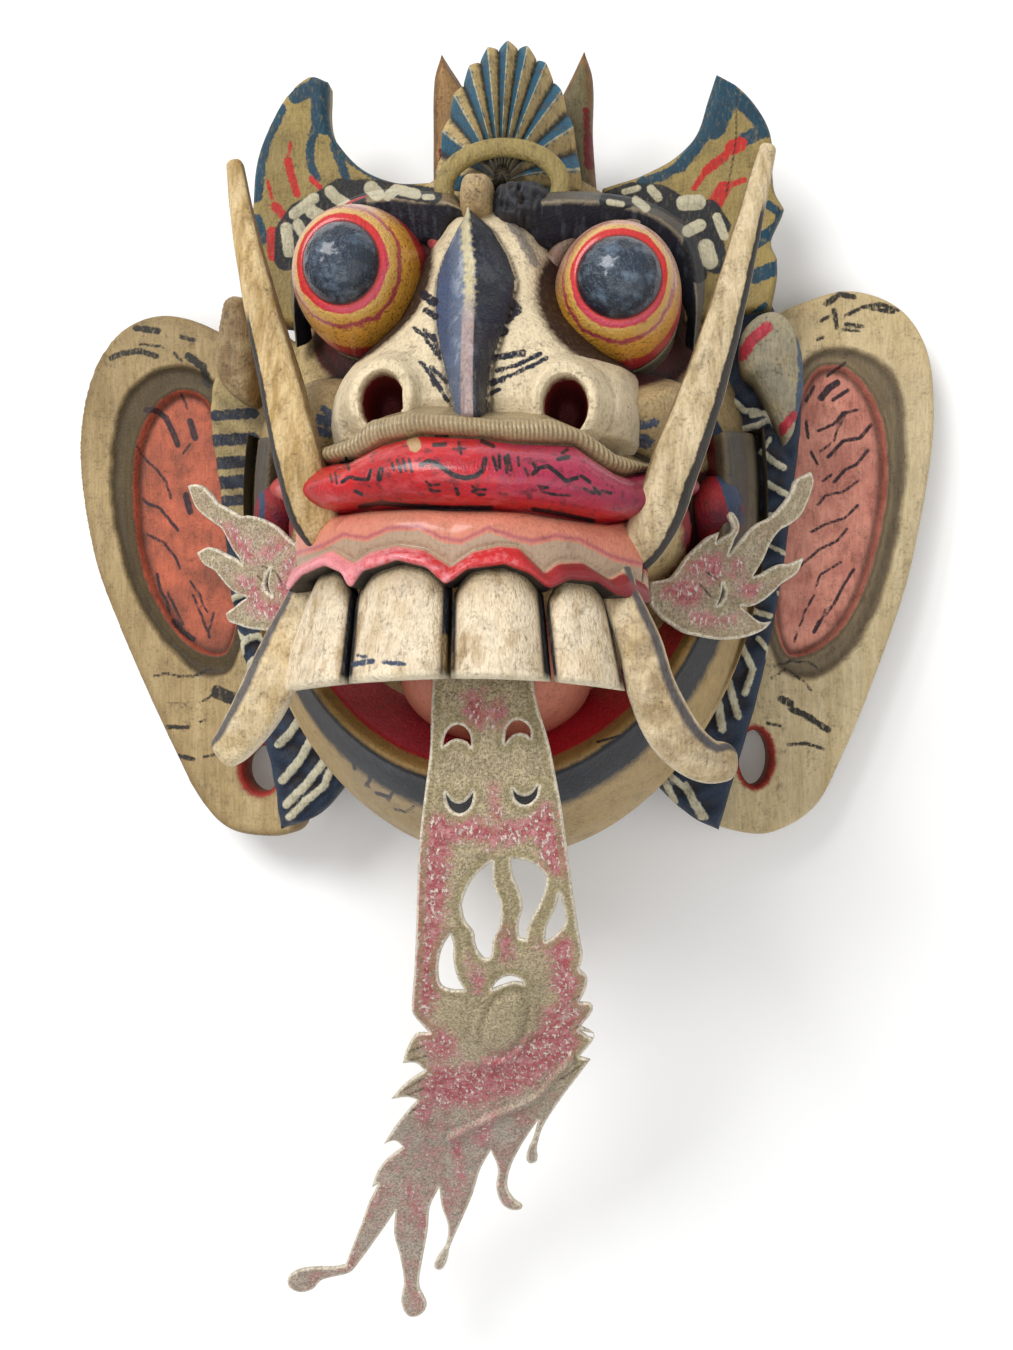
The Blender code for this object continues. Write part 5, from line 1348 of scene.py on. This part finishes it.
ears = {
    "hinge": 66, "front": 29, "thick": 12, "tilt": 7, "groove": 2.0, "recess": 4.6,
    "left": {
        "rimDirt": 1.6, "upperTone": "7f6c4a", "grooveShade": "40341e", "wood": ("9c845a", "ad956a", "bda67c"),
        "recessTones": ("c2654a", "93503b"),
        "edge": [(-60, 60), (-84, 108), (-104, 127), (-127, 136), (-145, 132), (-157, 118), (-163, 97), (-163, 74),
            (-157, 43), (-148, 20), (-136, -6), (-125, -28), (-115, -46), (-104, -57), (-90, -60), (-77, -58),
            (-73, -50), (-72, -30)],
        "groove": [(-109, 112), (-128, 117), (-145, 106), (-151, 82), (-149, 56), (-141, 30), (-127, 10), (-112, -1),
            (-100, 3), (-92, 40), (-96, 90)],
        "recess": [(-112, 104), (-126, 107), (-139, 92), (-142, 68), (-138, 40), (-127, 19), (-114, 8), (-103, 9),
            (-98, 40), (-102, 80)],
        "hole": (-90, -35, 7.25, 8.75),
        "veins": [(0.9, 146, 410, 156, 410, 166, 418, 174, 435, 178, 445), (0.4, 183, 454, 190, 444),
            (0.45, 137, 447, 147, 461, 157, 470, 166, 482, 171, 498),
            (0.5, 143, 499, 148, 504, 160, 508, 171, 522, 178, 530), (0.45, 148, 535, 163, 542, 176, 558, 180, 569),
            (0.5, 157, 574, 161, 592, 167, 601, 170, 615), (0.45, 168, 592, 177, 612, 183, 625),
            (0.9, 174, 621, 183, 632, 193, 639), (0.4, 190, 581, 200, 595, 203, 606, 208, 612),
            (0.4, 193, 595, 200, 612, 210, 638), (0.4, 214, 612, 208, 635), (1.0, 190, 421, 195, 438),
            (1.0, 186, 495, 190, 512), (0.4, 181, 393, 188, 410)],
        "brush": [(1.0, 136, 328, 158, 331), (0.9, 111, 358, 123, 353, 140, 351, 156, 356),
            (1.2, 188, 356, 203, 367, 208, 384), (0.5, 174, 353, 182, 361), (0.4, 140, 344, 163, 347),
            (0.4, 153, 676, 166, 673, 178, 676, 194, 676, 211, 669), (0.35, 168, 703, 186, 704),
            (0.6, 167, 727, 188, 727), (0.7, 177, 756, 193, 759), (0.4, 200, 722, 206, 720),
            (0.4, 203, 757, 214, 755), (0.4, 200, 702, 214, 695), (2.0, 217, 692, 231, 698),
            (0.7, 181, 337, 194, 340)]},
    "right": {
        "rimDirt": 0.4, "upperTone": "b39a6c", "grooveShade": "6a5b45", "wood": ("b8a379", "c8b48b", "d5c39d"),
        "recessTones": ("dc9480", "bf7868"),
        "edge": [(60, 60), (86, 112), (100, 130), (112, 136), (128, 140), (146, 134), (156, 120), (159, 100),
            (158, 80), (154, 56), (148, 30), (134, -9), (125, -30), (115, -48), (100, -57), (88, -57), (77, -52),
            (73, -30)],
        "groove": [(112, 116), (130, 119), (145, 108), (149, 82), (146, 52), (138, 24), (126, 5), (112, -2),
            (100, 4), (94, 40), (98, 90)],
        "recess": [(114, 110), (127, 112), (139, 96), (142, 72), (138, 46), (130, 24), (118, 10), (104, 8),
            (100, 40), (104, 80)],
        "hole": (93, -30, 5.7, 10.1),
        "veins": [(0.5, 827, 376, 845, 363), (1.1, 821, 398, 830, 387, 837, 383), (0.6, 833, 400, 848, 390),
            (0.5, 818, 431, 834, 424, 843, 413, 857, 410), (0.4, 834, 441, 837, 430, 845, 415),
            (0.6, 828, 457, 843, 441, 860, 438, 871, 425), (0.55, 834, 482, 845, 470, 857, 464, 868, 450),
            (0.45, 818, 505, 826, 495, 843, 492, 858, 481), (0.45, 811, 532, 826, 524, 845, 518, 858, 505),
            (0.45, 800, 566, 820, 549, 837, 541, 847, 529), (0.4, 816, 586, 820, 575, 841, 562),
            (0.5, 834, 604, 843, 586, 854, 569), (0.6, 806, 401, 814, 387), (0.5, 808, 438, 806, 421),
            (0.5, 817, 464, 811, 452), (0.4, 820, 452, 830, 444), (0.5, 823, 481, 831, 475),
            (0.4, 794, 643, 797, 632), (0.4, 800, 626, 806, 609), (0.4, 808, 606, 814, 595),
            (0.7, 814, 632, 820, 621), (0.4, 820, 623, 826, 609), (0.4, 826, 615, 833, 604),
            (0.4, 831, 609, 838, 598)],
        "brush": [(0.9, 826, 304, 840, 294, 854, 297), (0.6, 845, 316, 863, 307, 880, 304, 898, 310),
            (0.6, 870, 308, 893, 312), (0.6, 821, 321, 828, 317), (0.5, 817, 340, 823, 337),
            (0.8, 834, 310, 837, 327), (0.6, 845, 324, 863, 326), (0.5, 843, 330, 860, 331),
            (0.35, 774, 666, 791, 661, 811, 663, 818, 669), (0.35, 771, 678, 786, 669, 806, 683, 811, 692),
            (1.2, 781, 699, 790, 703), (1.0, 791, 709, 806, 715, 828, 730), (0.5, 788, 745, 806, 743, 823, 749),
            (0.5, 767, 723, 780, 726)]}}


def makeEar(side, way):
    shape = ears[side]
    groove, recess = smoothLoop(shape["groove"], 1.3), smoothLoop(shape["recess"], 1.3)
    hx, hy, hw, hh = shape["hole"]
    a = circle(48)
    hole = np.column_stack([hx + hw * np.cos(a), hy + hh * np.sin(a)])

    def signed(x, y, loop):
        spots = np.column_stack([x, y])
        return np.where(insideLoop(spots, loop), 1, -1) * loopDistance(spots, [loop])

    def front(x, y, gap):
        inRecess = signed(x, y, recess)
        dip, deep = np.clip(signed(x, y, groove) / 2.5, 0, 1), np.clip(inRecess / 2.0, 0, 1)
        z = -ears["groove"] * (3 * dip**2 - 2 * dip**3) * (1 - 0.5 * np.clip((inRecess + 3) / 3, 0, 1) * (1 - deep))
        z = z - (ears["recess"] - ears["groove"]) * (3 * deep**2 - 2 * deep**3)
        return z - rounded(gap, 2.2) + 0.15 * ripple(x * 3, y * 0.5, 9, 2)

    def back(x, y, gap):
        return -ears["thick"] + rounded(gap, 1.5) + 0.3 * ripple(x, y * 0.4, 12, 6)

    def marks(points, gap):
        x, y = points[:, 0], points[:, 1]
        return {"recess": onFront(signed(x, y, recess)), "groove": onFront(signed(x, y, groove)),
                "hole": 2.0 - loopDistance(points[:, :2], [hole]), "rear": np.where(onFront(gap + 1) > -5, 0, 1),
                "high": y}

    board("ear_board_" + side, shape["edge"], 1.3, front, back, earFinish(side),
          {mark: shape[mark] for mark in ("veins", "brush")}, marks,
          lambda points: leant(points, way, ears["hinge"], ears["tilt"], ears["front"]), [hole], 1.0,
          stands=("ear_" + side,), slot="ear_board")


def earFinish(side):
    shape = ears[side]
    finish = Finish("worn ear paint " + side)
    grain = finish.noise(210, 5, 0.6, (1.0, 0.035, 1.0))
    inGroove = finish.mark("groove") + (finish.noise(130, 3) - 0.5) * 3
    inRecess = finish.mark("recess") + (finish.noise(300, 3) - 0.5) * 1.0
    first, second = shape["recessTones"]
    floor = finish.over(
        first, (finish.spots(0.40, 4, 90, 4), second),
        (finish.spots(0.54, 6, 330, 4, 0.6, (1.0, 0.4, 1.0)) * 0.45, "6b3a2c"),
        # painted shade: the recess floor is darker red near its wall
        (((3.2 - inRecess) * 0.5).clip() * 0.45, "8a3426"))
    colour = finish.over(
        finish.ramp(grain, list(zip((0.30, 0.5, 0.72), shape["wood"]))),
        (finish.spots(0.44, 3, 34, 4) * shape["rimDirt"] * 0.4, "75613c"),
        ((finish.mark("edge") * -0.28 + 1.2).clip() * 0.35 * shape["rimDirt"], "5d4b2e"),
        (((finish.mark("high") - 95) * 0.025).clip() * 0.45, shape["upperTone"]),
        # painted shade: the groove round the recess is darkened
        ((inGroove * 0.55 + 0.3).clip() * 0.88, shape["grooveShade"]), ((inRecess * 1.5 + 0.2).clip(), floor),
        ((1 - abs(inRecess + 0.4) * 1.1).clip() * 0.55, "2c2115"))
    colour = finish.brush(colour, ("veins", "33222a", 0.3, 0.3, 3.0), ("brush", "2b2924", 0.7, 0.6),
                          ("hole", "8a2a22", 1.0, 0.1, 0.8))
    colour = finish.mix(finish.mark("rear") * 0.6, colour, "7a6141")
    return finish.worn(colour, 0.7, rise=grain * 0.5, depth=0.0003)


makeEar("left", -1)
makeEar("right", 1)


# Tusks: two long blades from the mouth's corners, cream in front, with a dark outer band and raw inner sides

tusks = {
    "rows": 240, "around": 56, "share": (0.7, 0.9, 1.0, 1.0, 0.9, 0.72, 0.42, 0.0),
    "thick": 7.4, "tip": 2.6, "flat": 2.8, "bandFrom": {"left": 310, "right": 200},
    "tones": {"left": ("ccb182", "a2844f"), "right": ("d2be9a", "a8936c")},
    "left": [(-36, 42, 108), (-41, 41, 124), (-46, 48, 134), (-50, 62, 135), (-57, 87, 130), (-65, 115, 125),
        (-71.5, 140, 120), (-76, 162, 115)],
    "right": [(42, 38, 108), (49, 37, 124), (56, 46, 134), (62.5, 64, 135), (71, 88, 130), (79, 116, 125),
        (86, 144, 120), (90.5, 162, 115)]}


def makeTusk(side, way):
    rows = tusks["rows"]
    share = smoothPath([(k / 7, r, 0) for k, r in enumerate(tusks["share"])], rows)[:, 1:2]
    t = np.linspace(0, 1, rows)[:, None]
    end = np.sqrt(np.clip(1 - np.clip((t - 0.985) / 0.016, 0, 1) ** 2, 0.02, 1))
    radius = (tusks["tip"] + (tusks["thick"] - tusks["tip"]) * np.clip(share, 0, 1)) * end

    def section(t, a):
        ring = radius * squareRing(a, tusks["flat"]) * (1 + 0.010 * np.sin(t * 55 + a * 3))
        return ring * np.cos(a), ring * np.sin(a)

    def marks(points, found):
        a = found["around"]
        return {"lean": np.degrees(np.arctan2(way * np.cos(a), np.sin(a))),
                "down": seen(points)[:, 1] - tusks["bandFrom"][side]}

    finish = Finish("tusk paint " + side)
    pale, dull = tusks["tones"][side]
    grain = finish.noise(300, 5, 0.62, (1.0, 0.12, 1.0))
    lean = finish.mark("lean") + (finish.noise(60, 3) - 0.5) * 16 + (finish.noise(500, 3) - 0.5) * 8
    band = ((lean - 34) * 0.25).clip() * ((74 - lean) * 0.25).clip() * (finish.mark("down") * 0.08).clip()
    raw = finish.mix(finish.spots(0.45, 4, 420, 4, 0.7), "7c6340", "4f3a22")
    colour = finish.over(
        finish.ramp(grain, [(0.36, dull), (0.60, pale), (0.8, "d3c097")]),
        (((-52 - lean) * 0.12).clip() * 0.85, raw), (band * 0.95, "171b22"),
        (((abs(lean) - 104) * 0.06).clip() * 0.7, "6b5334"))
    sweep("tusk_wood_" + side, smoothPath(tusks[side], rows), section, tusks["around"],
          finish.worn(colour, 0.85, rise=grain * 0.5), marks,
          stands=("tusk_" + side,), slot="tusk_wood", inWood=False)


makeTusk("left", -1)
makeTusk("right", 1)


# Painted hide: the long tongue and the two flames

# how far up the face and how high over the rim the tongue hangs, then its outline and holes; a third value is a tip
tonguePath = [(24, 123), (8, 133), (-11, 137), (-34, 135), (-57, 128), (-91, 112), (-130, 88), (-170, 62),
    (-205, 45), (-240, 34)]
tongueEdge = [(-10, 20, 1), (-10, -2), (-10.3, -12), (-10.9, -24), (-14.7, -49.6), (-16.5, -67.5), (-18.9, -90.9),
    (-21.2, -107.1), (-19.9, -110.2, 1), (-16.2, -115.3, 1), (-20.6, -115.7), (-24, -121), (-26.1, -126.9, 1),
    (-21.6, -126.8), (-19, -129.5, 1), (-24.2, -133.4), (-27.9, -137), (-31.3, -141.3, 1), (-25.6, -140.3),
    (-22.5, -141.4, 1), (-26.9, -146.7), (-31.6, -153.1), (-35.8, -160, 1), (-31.8, -158.5), (-29.3, -161.1, 1),
    (-35.8, -166.8), (-39.9, -172.9), (-41.8, -178.4, 1), (-39.5, -177, 1), (-43.4, -184.6), (-47, -194),
    (-50.6, -202.7), (-54, -211.4, 1), (-58.2, -212.5), (-64.1, -212.8), (-70.7, -214), (-75, -216.8),
    (-75.3, -221.1), (-71.4, -223.2), (-66.6, -221.7), (-63, -217.9), (-57.7, -216.1), (-52.5, -214.3),
    (-48.6, -209.6), (-42.5, -200.7), (-37, -192.3), (-34.3, -187.8, 1), (-35.5, -197.8), (-34.1, -207.1),
    (-33.1, -216.8), (-34.4, -225.9), (-32.3, -231.3), (-28.3, -231.1), (-25.4, -226.7), (-27.7, -219),
    (-26.2, -208.4), (-23.6, -196.5), (-22.1, -186.3), (-18.1, -177.5, 1), (-17.8, -185.3), (-16.1, -193.7),
    (-17.4, -201.8), (-20.8, -207.4), (-21.9, -211.2), (-19.6, -212.1), (-17.5, -208.9), (-16.1, -203.1),
    (-11.4, -191.8), (-6.9, -180.8), (-3.5, -170), (0.7, -161.5, 1), (2.6, -169), (1.7, -177.2), (3.4, -183.8),
    (7.4, -186.3), (10.5, -184.8), (7.6, -181.9), (5.5, -177.1), (7, -168.8), (11.5, -158.5), (17.4, -148.3, 1),
    (15.4, -155.8), (12.9, -162.6), (13.4, -166.5), (16.2, -165.4), (16.4, -160.3), (18.9, -151.2), (25, -140),
    (31.2, -130.4), (35.3, -124.1, 1), (31.8, -123, 1), (36.3, -116.6), (36.6, -114.2, 1), (31.8, -113.1, 1),
    (36.4, -116.1), (36.4, -114.1), (32.5, -111.6, 1), (36.4, -105.8), (35.8, -103.3), (32.3, -102.9, 1),
    (34.5, -97.8), (34.9, -93.9), (32.6, -91.1, 1), (33.7, -86.7), (32.8, -79.7), (31.5, -68.7), (29.9, -54.4),
    (28.1, -38.9), (26.5, -29.7), (24.5, -19.7), (20, -3), (20, 20, 1)]
tongueHoles = [[(-6.9, -21.1, 1), (-6.2, -17.8), (-4.5, -15.5), (-2.4, -14.7), (-0.2, -15.5), (1.3, -17.7),
    (1.6, -21.1, 1), (0.4, -19.8), (-1.1, -19.1), (-2.9, -18.8), (-4.8, -19.5)], [(11.6, -20.2, 1), (11.9, -16.5),
    (13.4, -14.1), (15.4, -13.3), (17.6, -14.1), (19.1, -16), (19.2, -18.6, 1), (17.9, -17.4), (15.8, -17.1),
    (13.7, -17.8), (12.5, -19)], [(-6.2, -35.1, 1), (-4.5, -37.6), (-2.4, -38.4), (-0.3, -37.6), (2.1, -34.8, 1),
    (1.4, -38.3), (0.1, -40.2), (-2.3, -41.4), (-4.6, -40.4), (-5.9, -38.1)], [(13.8, -33.8, 1), (15.2, -35.4),
    (17.4, -36), (19.4, -35.2), (21.4, -32.6, 1), (20.9, -35.6), (19.4, -37.6), (17.3, -38.6), (15.2, -37.7),
    (14.1, -36)], [(7.1, -55.9, 1), (1.8, -60.7), (-1.3, -65.4), (-3.1, -70.5, 1), (-2.2, -75.6), (0.2, -79.2),
    (0.7, -83.9), (3.3, -88.1), (5.2, -87.2), (6, -82), (8.5, -76.3), (8.8, -69.4), (7, -63.1)], [(12.9, -55.2, 1),
    (17.3, -55.8), (21, -57.8), (23.2, -61.5), (20.9, -69.3), (17.4, -76.2), (16.2, -81.4, 1), (14.5, -80.9),
    (14.3, -76.2), (15.7, -70.7), (14.8, -65.2), (13.1, -60.3)], [(27.1, -66, 1), (28.5, -71.9), (28.4, -76),
    (24.6, -80.5), (22.2, -81.9, 1), (23, -77), (25.8, -70.6)], [(-7, -80.1, 1), (-9.8, -84.6), (-11.5, -91.3),
    (-11.1, -97.5), (-8.2, -99.1), (-3.8, -99.2, 1), (-5.7, -94.6), (-6.6, -88.8), (-6.3, -83.1)], [(4.9, -98.6, 1),
    (7.1, -95.6), (10.5, -93.9), (13.7, -94.5), (15.1, -96.4, 1), (11.9, -95.9), (8.3, -97.2)]]
hide = {
    "thick": 2.4, "step": 0.85,
    "red": [(2.6, 474, 700, 477, 718), (1.6, 500, 706, 502, 722), (4.4, 440, 832, 432, 880),
        (2.8, 442, 835, 472, 830, 500, 835), (4.2, 546, 822, 556, 862), (2.6, 500, 832, 540, 826),
        (1.1, 493, 792, 498, 820), (4.6, 432, 880, 428, 930, 422, 1000), (1.6, 419, 1000, 423, 1022),
        (3.6, 432, 1036, 446, 1052), (6.5, 444, 1086, 480, 1084, 520, 1070), (6.0, 520, 1070, 552, 1046, 566, 1020),
        (3.6, 562, 950, 568, 1000), (2.2, 424, 1112, 440, 1085), (0.9, 505, 928, 505, 956),
        (1.1, 470, 960, 478, 984), (0.7, 535, 940, 550, 950), (1.2, 492, 1120, 480, 1140),
        (0.8, 455, 1140, 462, 1180), (0.9, 410, 1190, 426, 1222), (0.7, 398, 1152, 410, 1140)],
    "oval": (505, 1021, 21, 31), "fold": [(448, 1133), (488, 1113), (536, 1092), (574, 1050)],
    "hatch": [(0.3, 408, 1052, 424, 1046), (0.3, 404, 1090, 424, 1078), (0.3, 396, 1120, 420, 1106),
        (0.3, 410, 1060, 426, 1056), (0.3, 402, 1098, 424, 1088), (0.3, 570, 1030, 590, 1022),
        (0.3, 572, 1000, 588, 992), (0.3, 560, 1080, 580, 1066)]}


def hideFinish(name):
    # khaki hide with soft-edged fields of red, thickly flecked where the paint has cracked off
    finish = Finish(name)
    fine, coarse = finish.noise(420, 4, 0.6) - 0.5, finish.noise(110, 4, 0.6)
    far, edge, grain = finish.mark("far").clip(), finish.mark("edge"), finish.spots(0.48, 6, 1300, 2, 0.5)
    # painted sheen: the tongue's far end is painted paler and greyer
    base = finish.over("bfae8c", (far, "b9ab9e"), (((coarse - 0.40) * 3).clip() * 0.5, "84775a"),
                       (grain * 0.45, "5e5339"), (finish.spots(0.55, 8, 1100, 2, 0.5) * 0.5, "d6c9a6"))
    red = finish.mix(((fine + 0.08) * 4).clip(), "a83a4e", "cf8a92")
    field = (finish.mark("red") * 0.26 + (coarse - 0.5) * 2.0 + fine * 2.4 + 0.65).clip()
    field = finish.sum("MAXIMUM", field, ((coarse - 0.45) * 4 + fine * 3).clip() * far * 0.65)
    fleck = finish.spots(0.53, 12, 1000, 3, 0.62, (1.0, 0.45, 1.0))
    colour = finish.over(base, (field * 0.85, red), (fleck * (field + 0.12).clip() * 0.85, "fleck"))
    ringed = ((3.2 - edge) * 1.2).clip() * ((edge - 0.9) * 2).clip() * (1 - far)
    cut = ((0.95 - edge + (finish.noise(400, 3) - 0.5) * 0.9) * 2.4).clip()
    colour = finish.over(finish.brush(colour, ("hatch", "4a3c2c", 0.3, 0.3)), (ringed * 0.55, "9a8e66"),
                         (cut * 0.9, "e6dcc6"))
    return finish.worn(colour, 0.4, rise=fleck * 0.6 + grain * 0.4, depth=0.0005)


def makeTongue():
    ys, zs = np.array(tonguePath, float).T

    def bend(x, y):
        low = np.clip((-120 - y) / 120, 0, 1)
        return np.interp(y, ys[::-1], zs[::-1]) + 1.2 * low * ripple(x, y, 60, 4)

    def lift(points):
        return np.column_stack([points[:, :2], points[:, 2] + bend(points[:, 0], points[:, 1])])

    def front(x, y, gap):
        spots = seen(places(x, y, bend(x, y)))
        u, v, wide, tall = hide["oval"]
        du, dv = spots[:, 0] - u, spots[:, 1] - v
        ring = np.sqrt(((du + 0.25 * dv) / wide) ** 2 + (dv / tall) ** 2)
        button = 1.5 * np.clip((1 - ring) * 4, 0, 1) + 1.0 * np.exp(-((ring - 1.34) / 0.13) ** 2)
        under = below(places(x, y, bend(x, y)), hide["fold"])
        inside = (spots[:, 0] > 448) & (spots[:, 0] < 574)
        fold = np.where(inside, 2.0 * np.exp(-((under - 1.0) / 1.2) ** 2) + 0.5 * (under > 1), 0)
        return hide["thick"] - rounded(gap, 0.5) + button + fold * np.clip(gap / 2, 0, 1)

    board("hide_tongue", tongueEdge, 1.0, front, flatBack(0, 0.4), hideFinish("painted hide"),
          {mark: hide[mark] for mark in ("red", "hatch")},
          # the far end of the tongue, which takes the painted sheen
          lambda points, gap: {"far": np.clip((-112 - points[:, 1]) / 40, 0, 1)}, lift,
          [smoothLoop(hole, 1.0) for hole in tongueHoles], hide["step"],
          stands=("tongue",), slot="painted_hide", inWood=False)


flames = {
    "left": [(-51.2, 37.4, 1), (-54, 39.3), (-57.3, 41.6), (-60.7, 44), (-64, 46.8), (-67.4, 48.8), (-72.1, 50.7),
        (-76.6, 51.7), (-79.6, 51.5, 1), (-82.4, 53.1), (-86, 54.9), (-89, 56.2), (-91.3, 58.4), (-93.7, 60.6),
        (-96.1, 62.4), (-99.1, 63.2), (-102.3, 62.9, 1), (-100.7, 59.2), (-98.6, 55.4), (-94.9, 52.4), (-91.3, 50.2),
        (-87.7, 47.9), (-85.4, 44.6), (-83, 40.9), (-80.3, 37.8), (-78.9, 35.9, 1), (-81.9, 37.9), (-84.8, 39.1),
        (-87.7, 40.4), (-90.7, 41.6), (-93.7, 42.1), (-98.3, 40.5, 1), (-95.5, 36.7), (-90.7, 34.3), (-88.3, 31.9),
        (-85.4, 29.1), (-81.2, 26.4), (-77.1, 25, 1), (-79.6, 23.9), (-82.4, 22.1), (-85.9, 20.2, 1), (-84.8, 17.6),
        (-81.2, 16.4), (-77.1, 15.2), (-72.1, 14.5), (-65.2, 14.1), (-60.7, 15), (-55.1, 21.5), (-49.6, 29.8, 1)],
    "right": [(53.9, 29, 1), (60.5, 30.3), (63, 32.7), (66.3, 37), (70.3, 40.7), (73.6, 43.4), (77.8, 45.2, 1),
        (76.7, 41.9, 1), (79, 43.6), (81.9, 45.2), (82.7, 46.7), (81.8, 48.8), (81, 50.6), (81.9, 51.7),
        (83.4, 50.7), (84.9, 48), (84.7, 45.6), (83.4, 43.4), (82.4, 41), (80.9, 37.8, 1), (84.4, 41.7),
        (87.9, 45.4), (91.3, 48.2), (96, 50.5), (100.2, 54.3), (103.6, 58.7), (105.1, 62.4), (107.8, 64.1),
        (111, 65.7, 1), (111.9, 62.7), (110.7, 58.4), (109.3, 55.2), (107.2, 51.5), (103, 48.3), (99.5, 46.4),
        (96, 42), (93.6, 37.1), (89.8, 31.4, 1), (92.6, 32.2), (96, 34.1), (99.5, 35.5), (103, 35.8),
        (108.4, 37.9, 1), (106.8, 34.4), (105.4, 32.5), (103, 30.9), (100.2, 29.3), (96.8, 26.2), (93.3, 23.7),
        (89.2, 21.9), (85.4, 21.7, 1), (88.2, 19.7), (90.6, 17.9), (93.3, 16.8), (96.6, 17.2, 1), (94, 14.7),
        (89.8, 12.8), (84.4, 11.5), (77.7, 11.2), (71.6, 12), (65.7, 13.2), (62.4, 14.9), (57.8, 17.8),
        (53.9, 21.9, 1)],
    "eye": {
        "left": [(-67.2, 34.3, 1), (-69.1, 31.8), (-69.9, 29.5), (-69.3, 27.3), (-66.6, 25.3, 1), (-68.1, 27.5),
            (-68.4, 29.5), (-68.1, 31.7)],
        "right": [(79, 28.9, 1), (80, 26.5), (79, 23.8), (76.7, 21.7, 1), (78, 24.1), (78.7, 26.5)]},
    "red": {
        "left": [(1.5, 225, 529, 232, 538, 239, 547, 249, 555), (1.7, 269, 555, 284, 544),
            (2.8, 288, 568, 299, 578, 287, 590), (2.2, 253, 596, 259, 606, 276, 610), (0.9, 243, 583, 249, 584)],
        "right": [(2.0, 693, 566, 712, 563, 716, 572), (1.3, 739, 563, 735, 574), (1.6, 743, 587, 750, 591),
            (2.8, 670, 589, 689, 593), (0.9, 699, 618, 733, 620)]},
    "hatch": [(0.3, 262, 566, 276, 572, 282, 584), (0.3, 258, 576, 268, 588), (0.3, 706, 572, 718, 580, 722, 592),
        (0.3, 700, 584, 712, 598)]}


def makeFlame(side, way):
    board("hide_flame_" + side, flames[side], 0.8, lambda x, y, gap: hide["thick"] - rounded(gap, 0.5),
          flatBack(0, 0.4), hideFinish("painted flame " + side),
          {"red": flames["red"][side], "hatch": flames["hatch"]},
          # the flames take a third of the painted sheen of the tongue's far end
          lambda points, gap: {"far": np.full(len(points), 0.35)}, lambda points: leant(points, way, 53, 25, 109),
          [smoothLoop(flames["eye"][side], 0.8)], 0.6, stands=("flame_" + side,), slot="painted_hide", inWood=False)


makeTongue()
makeFlame("left", -1)
makeFlame("right", 1)


# Floor, lights and camera

lights = {
    "key": {"place": (-0.8, 1.1, 1.5), "size": 0.9, "power": 30},
    "fill": {"place": (1.2, -0.3, 1.5), "size": 1.4, "power": 5},
    "front": {"place": (0.0, -0.5, 2.0), "size": 1.6, "power": 10}, "room": 0.45}

shift = np.array(drawing["shift"]) * 0.001
bpy.ops.mesh.primitive_plane_add(size=12, location=(0, 0, 0))
floor = bpy.context.object
floor.name = "pale_floor"
floorFinish = Finish("pale floor")
speck = floorFinish.noise(3, 3)
tone = floorFinish.ramp(speck, [(0.3, "fbfbfa"), (0.7, "ffffff")])
floor.data.materials.append(floorFinish.close(tone, 0.9, speck, 0.0001))

for name in ("key", "fill", "front"):
    data = bpy.data.lights.new(name, "AREA")
    data.energy = lights[name]["power"]
    data.size = lights[name]["size"]
    lamp = bpy.data.objects.new(name, data)
    bpy.context.scene.collection.objects.link(lamp)
    lamp.location = lights[name]["place"]
    lamp.rotation_euler = (-lamp.location).to_track_quat("-Z", "Y").to_euler()
world = bpy.data.worlds.new("soft room")
bpy.context.scene.world = world
world.use_nodes = True
world.node_tree.nodes["Background"].inputs["Color"].default_value = (1, 1, 1, 1)
world.node_tree.nodes["Background"].inputs["Strength"].default_value = lights["room"]

turn = math.radians(camera["turn"])
eye = np.array([math.sin(turn), 0, math.cos(turn)]) * camera["distance"] * 0.001 + shift
lens = bpy.data.cameras.new("view")
lens.sensor_width = 36
lens.lens = camera["focal"] / camera["high"] * 36
viewer = bpy.data.objects.new("view", lens)
bpy.context.scene.collection.objects.link(viewer)
viewer.location = eye
viewer.rotation_euler = (0, turn, 0)
bpy.context.scene.camera = viewer
print("floor, lights and camera ready")
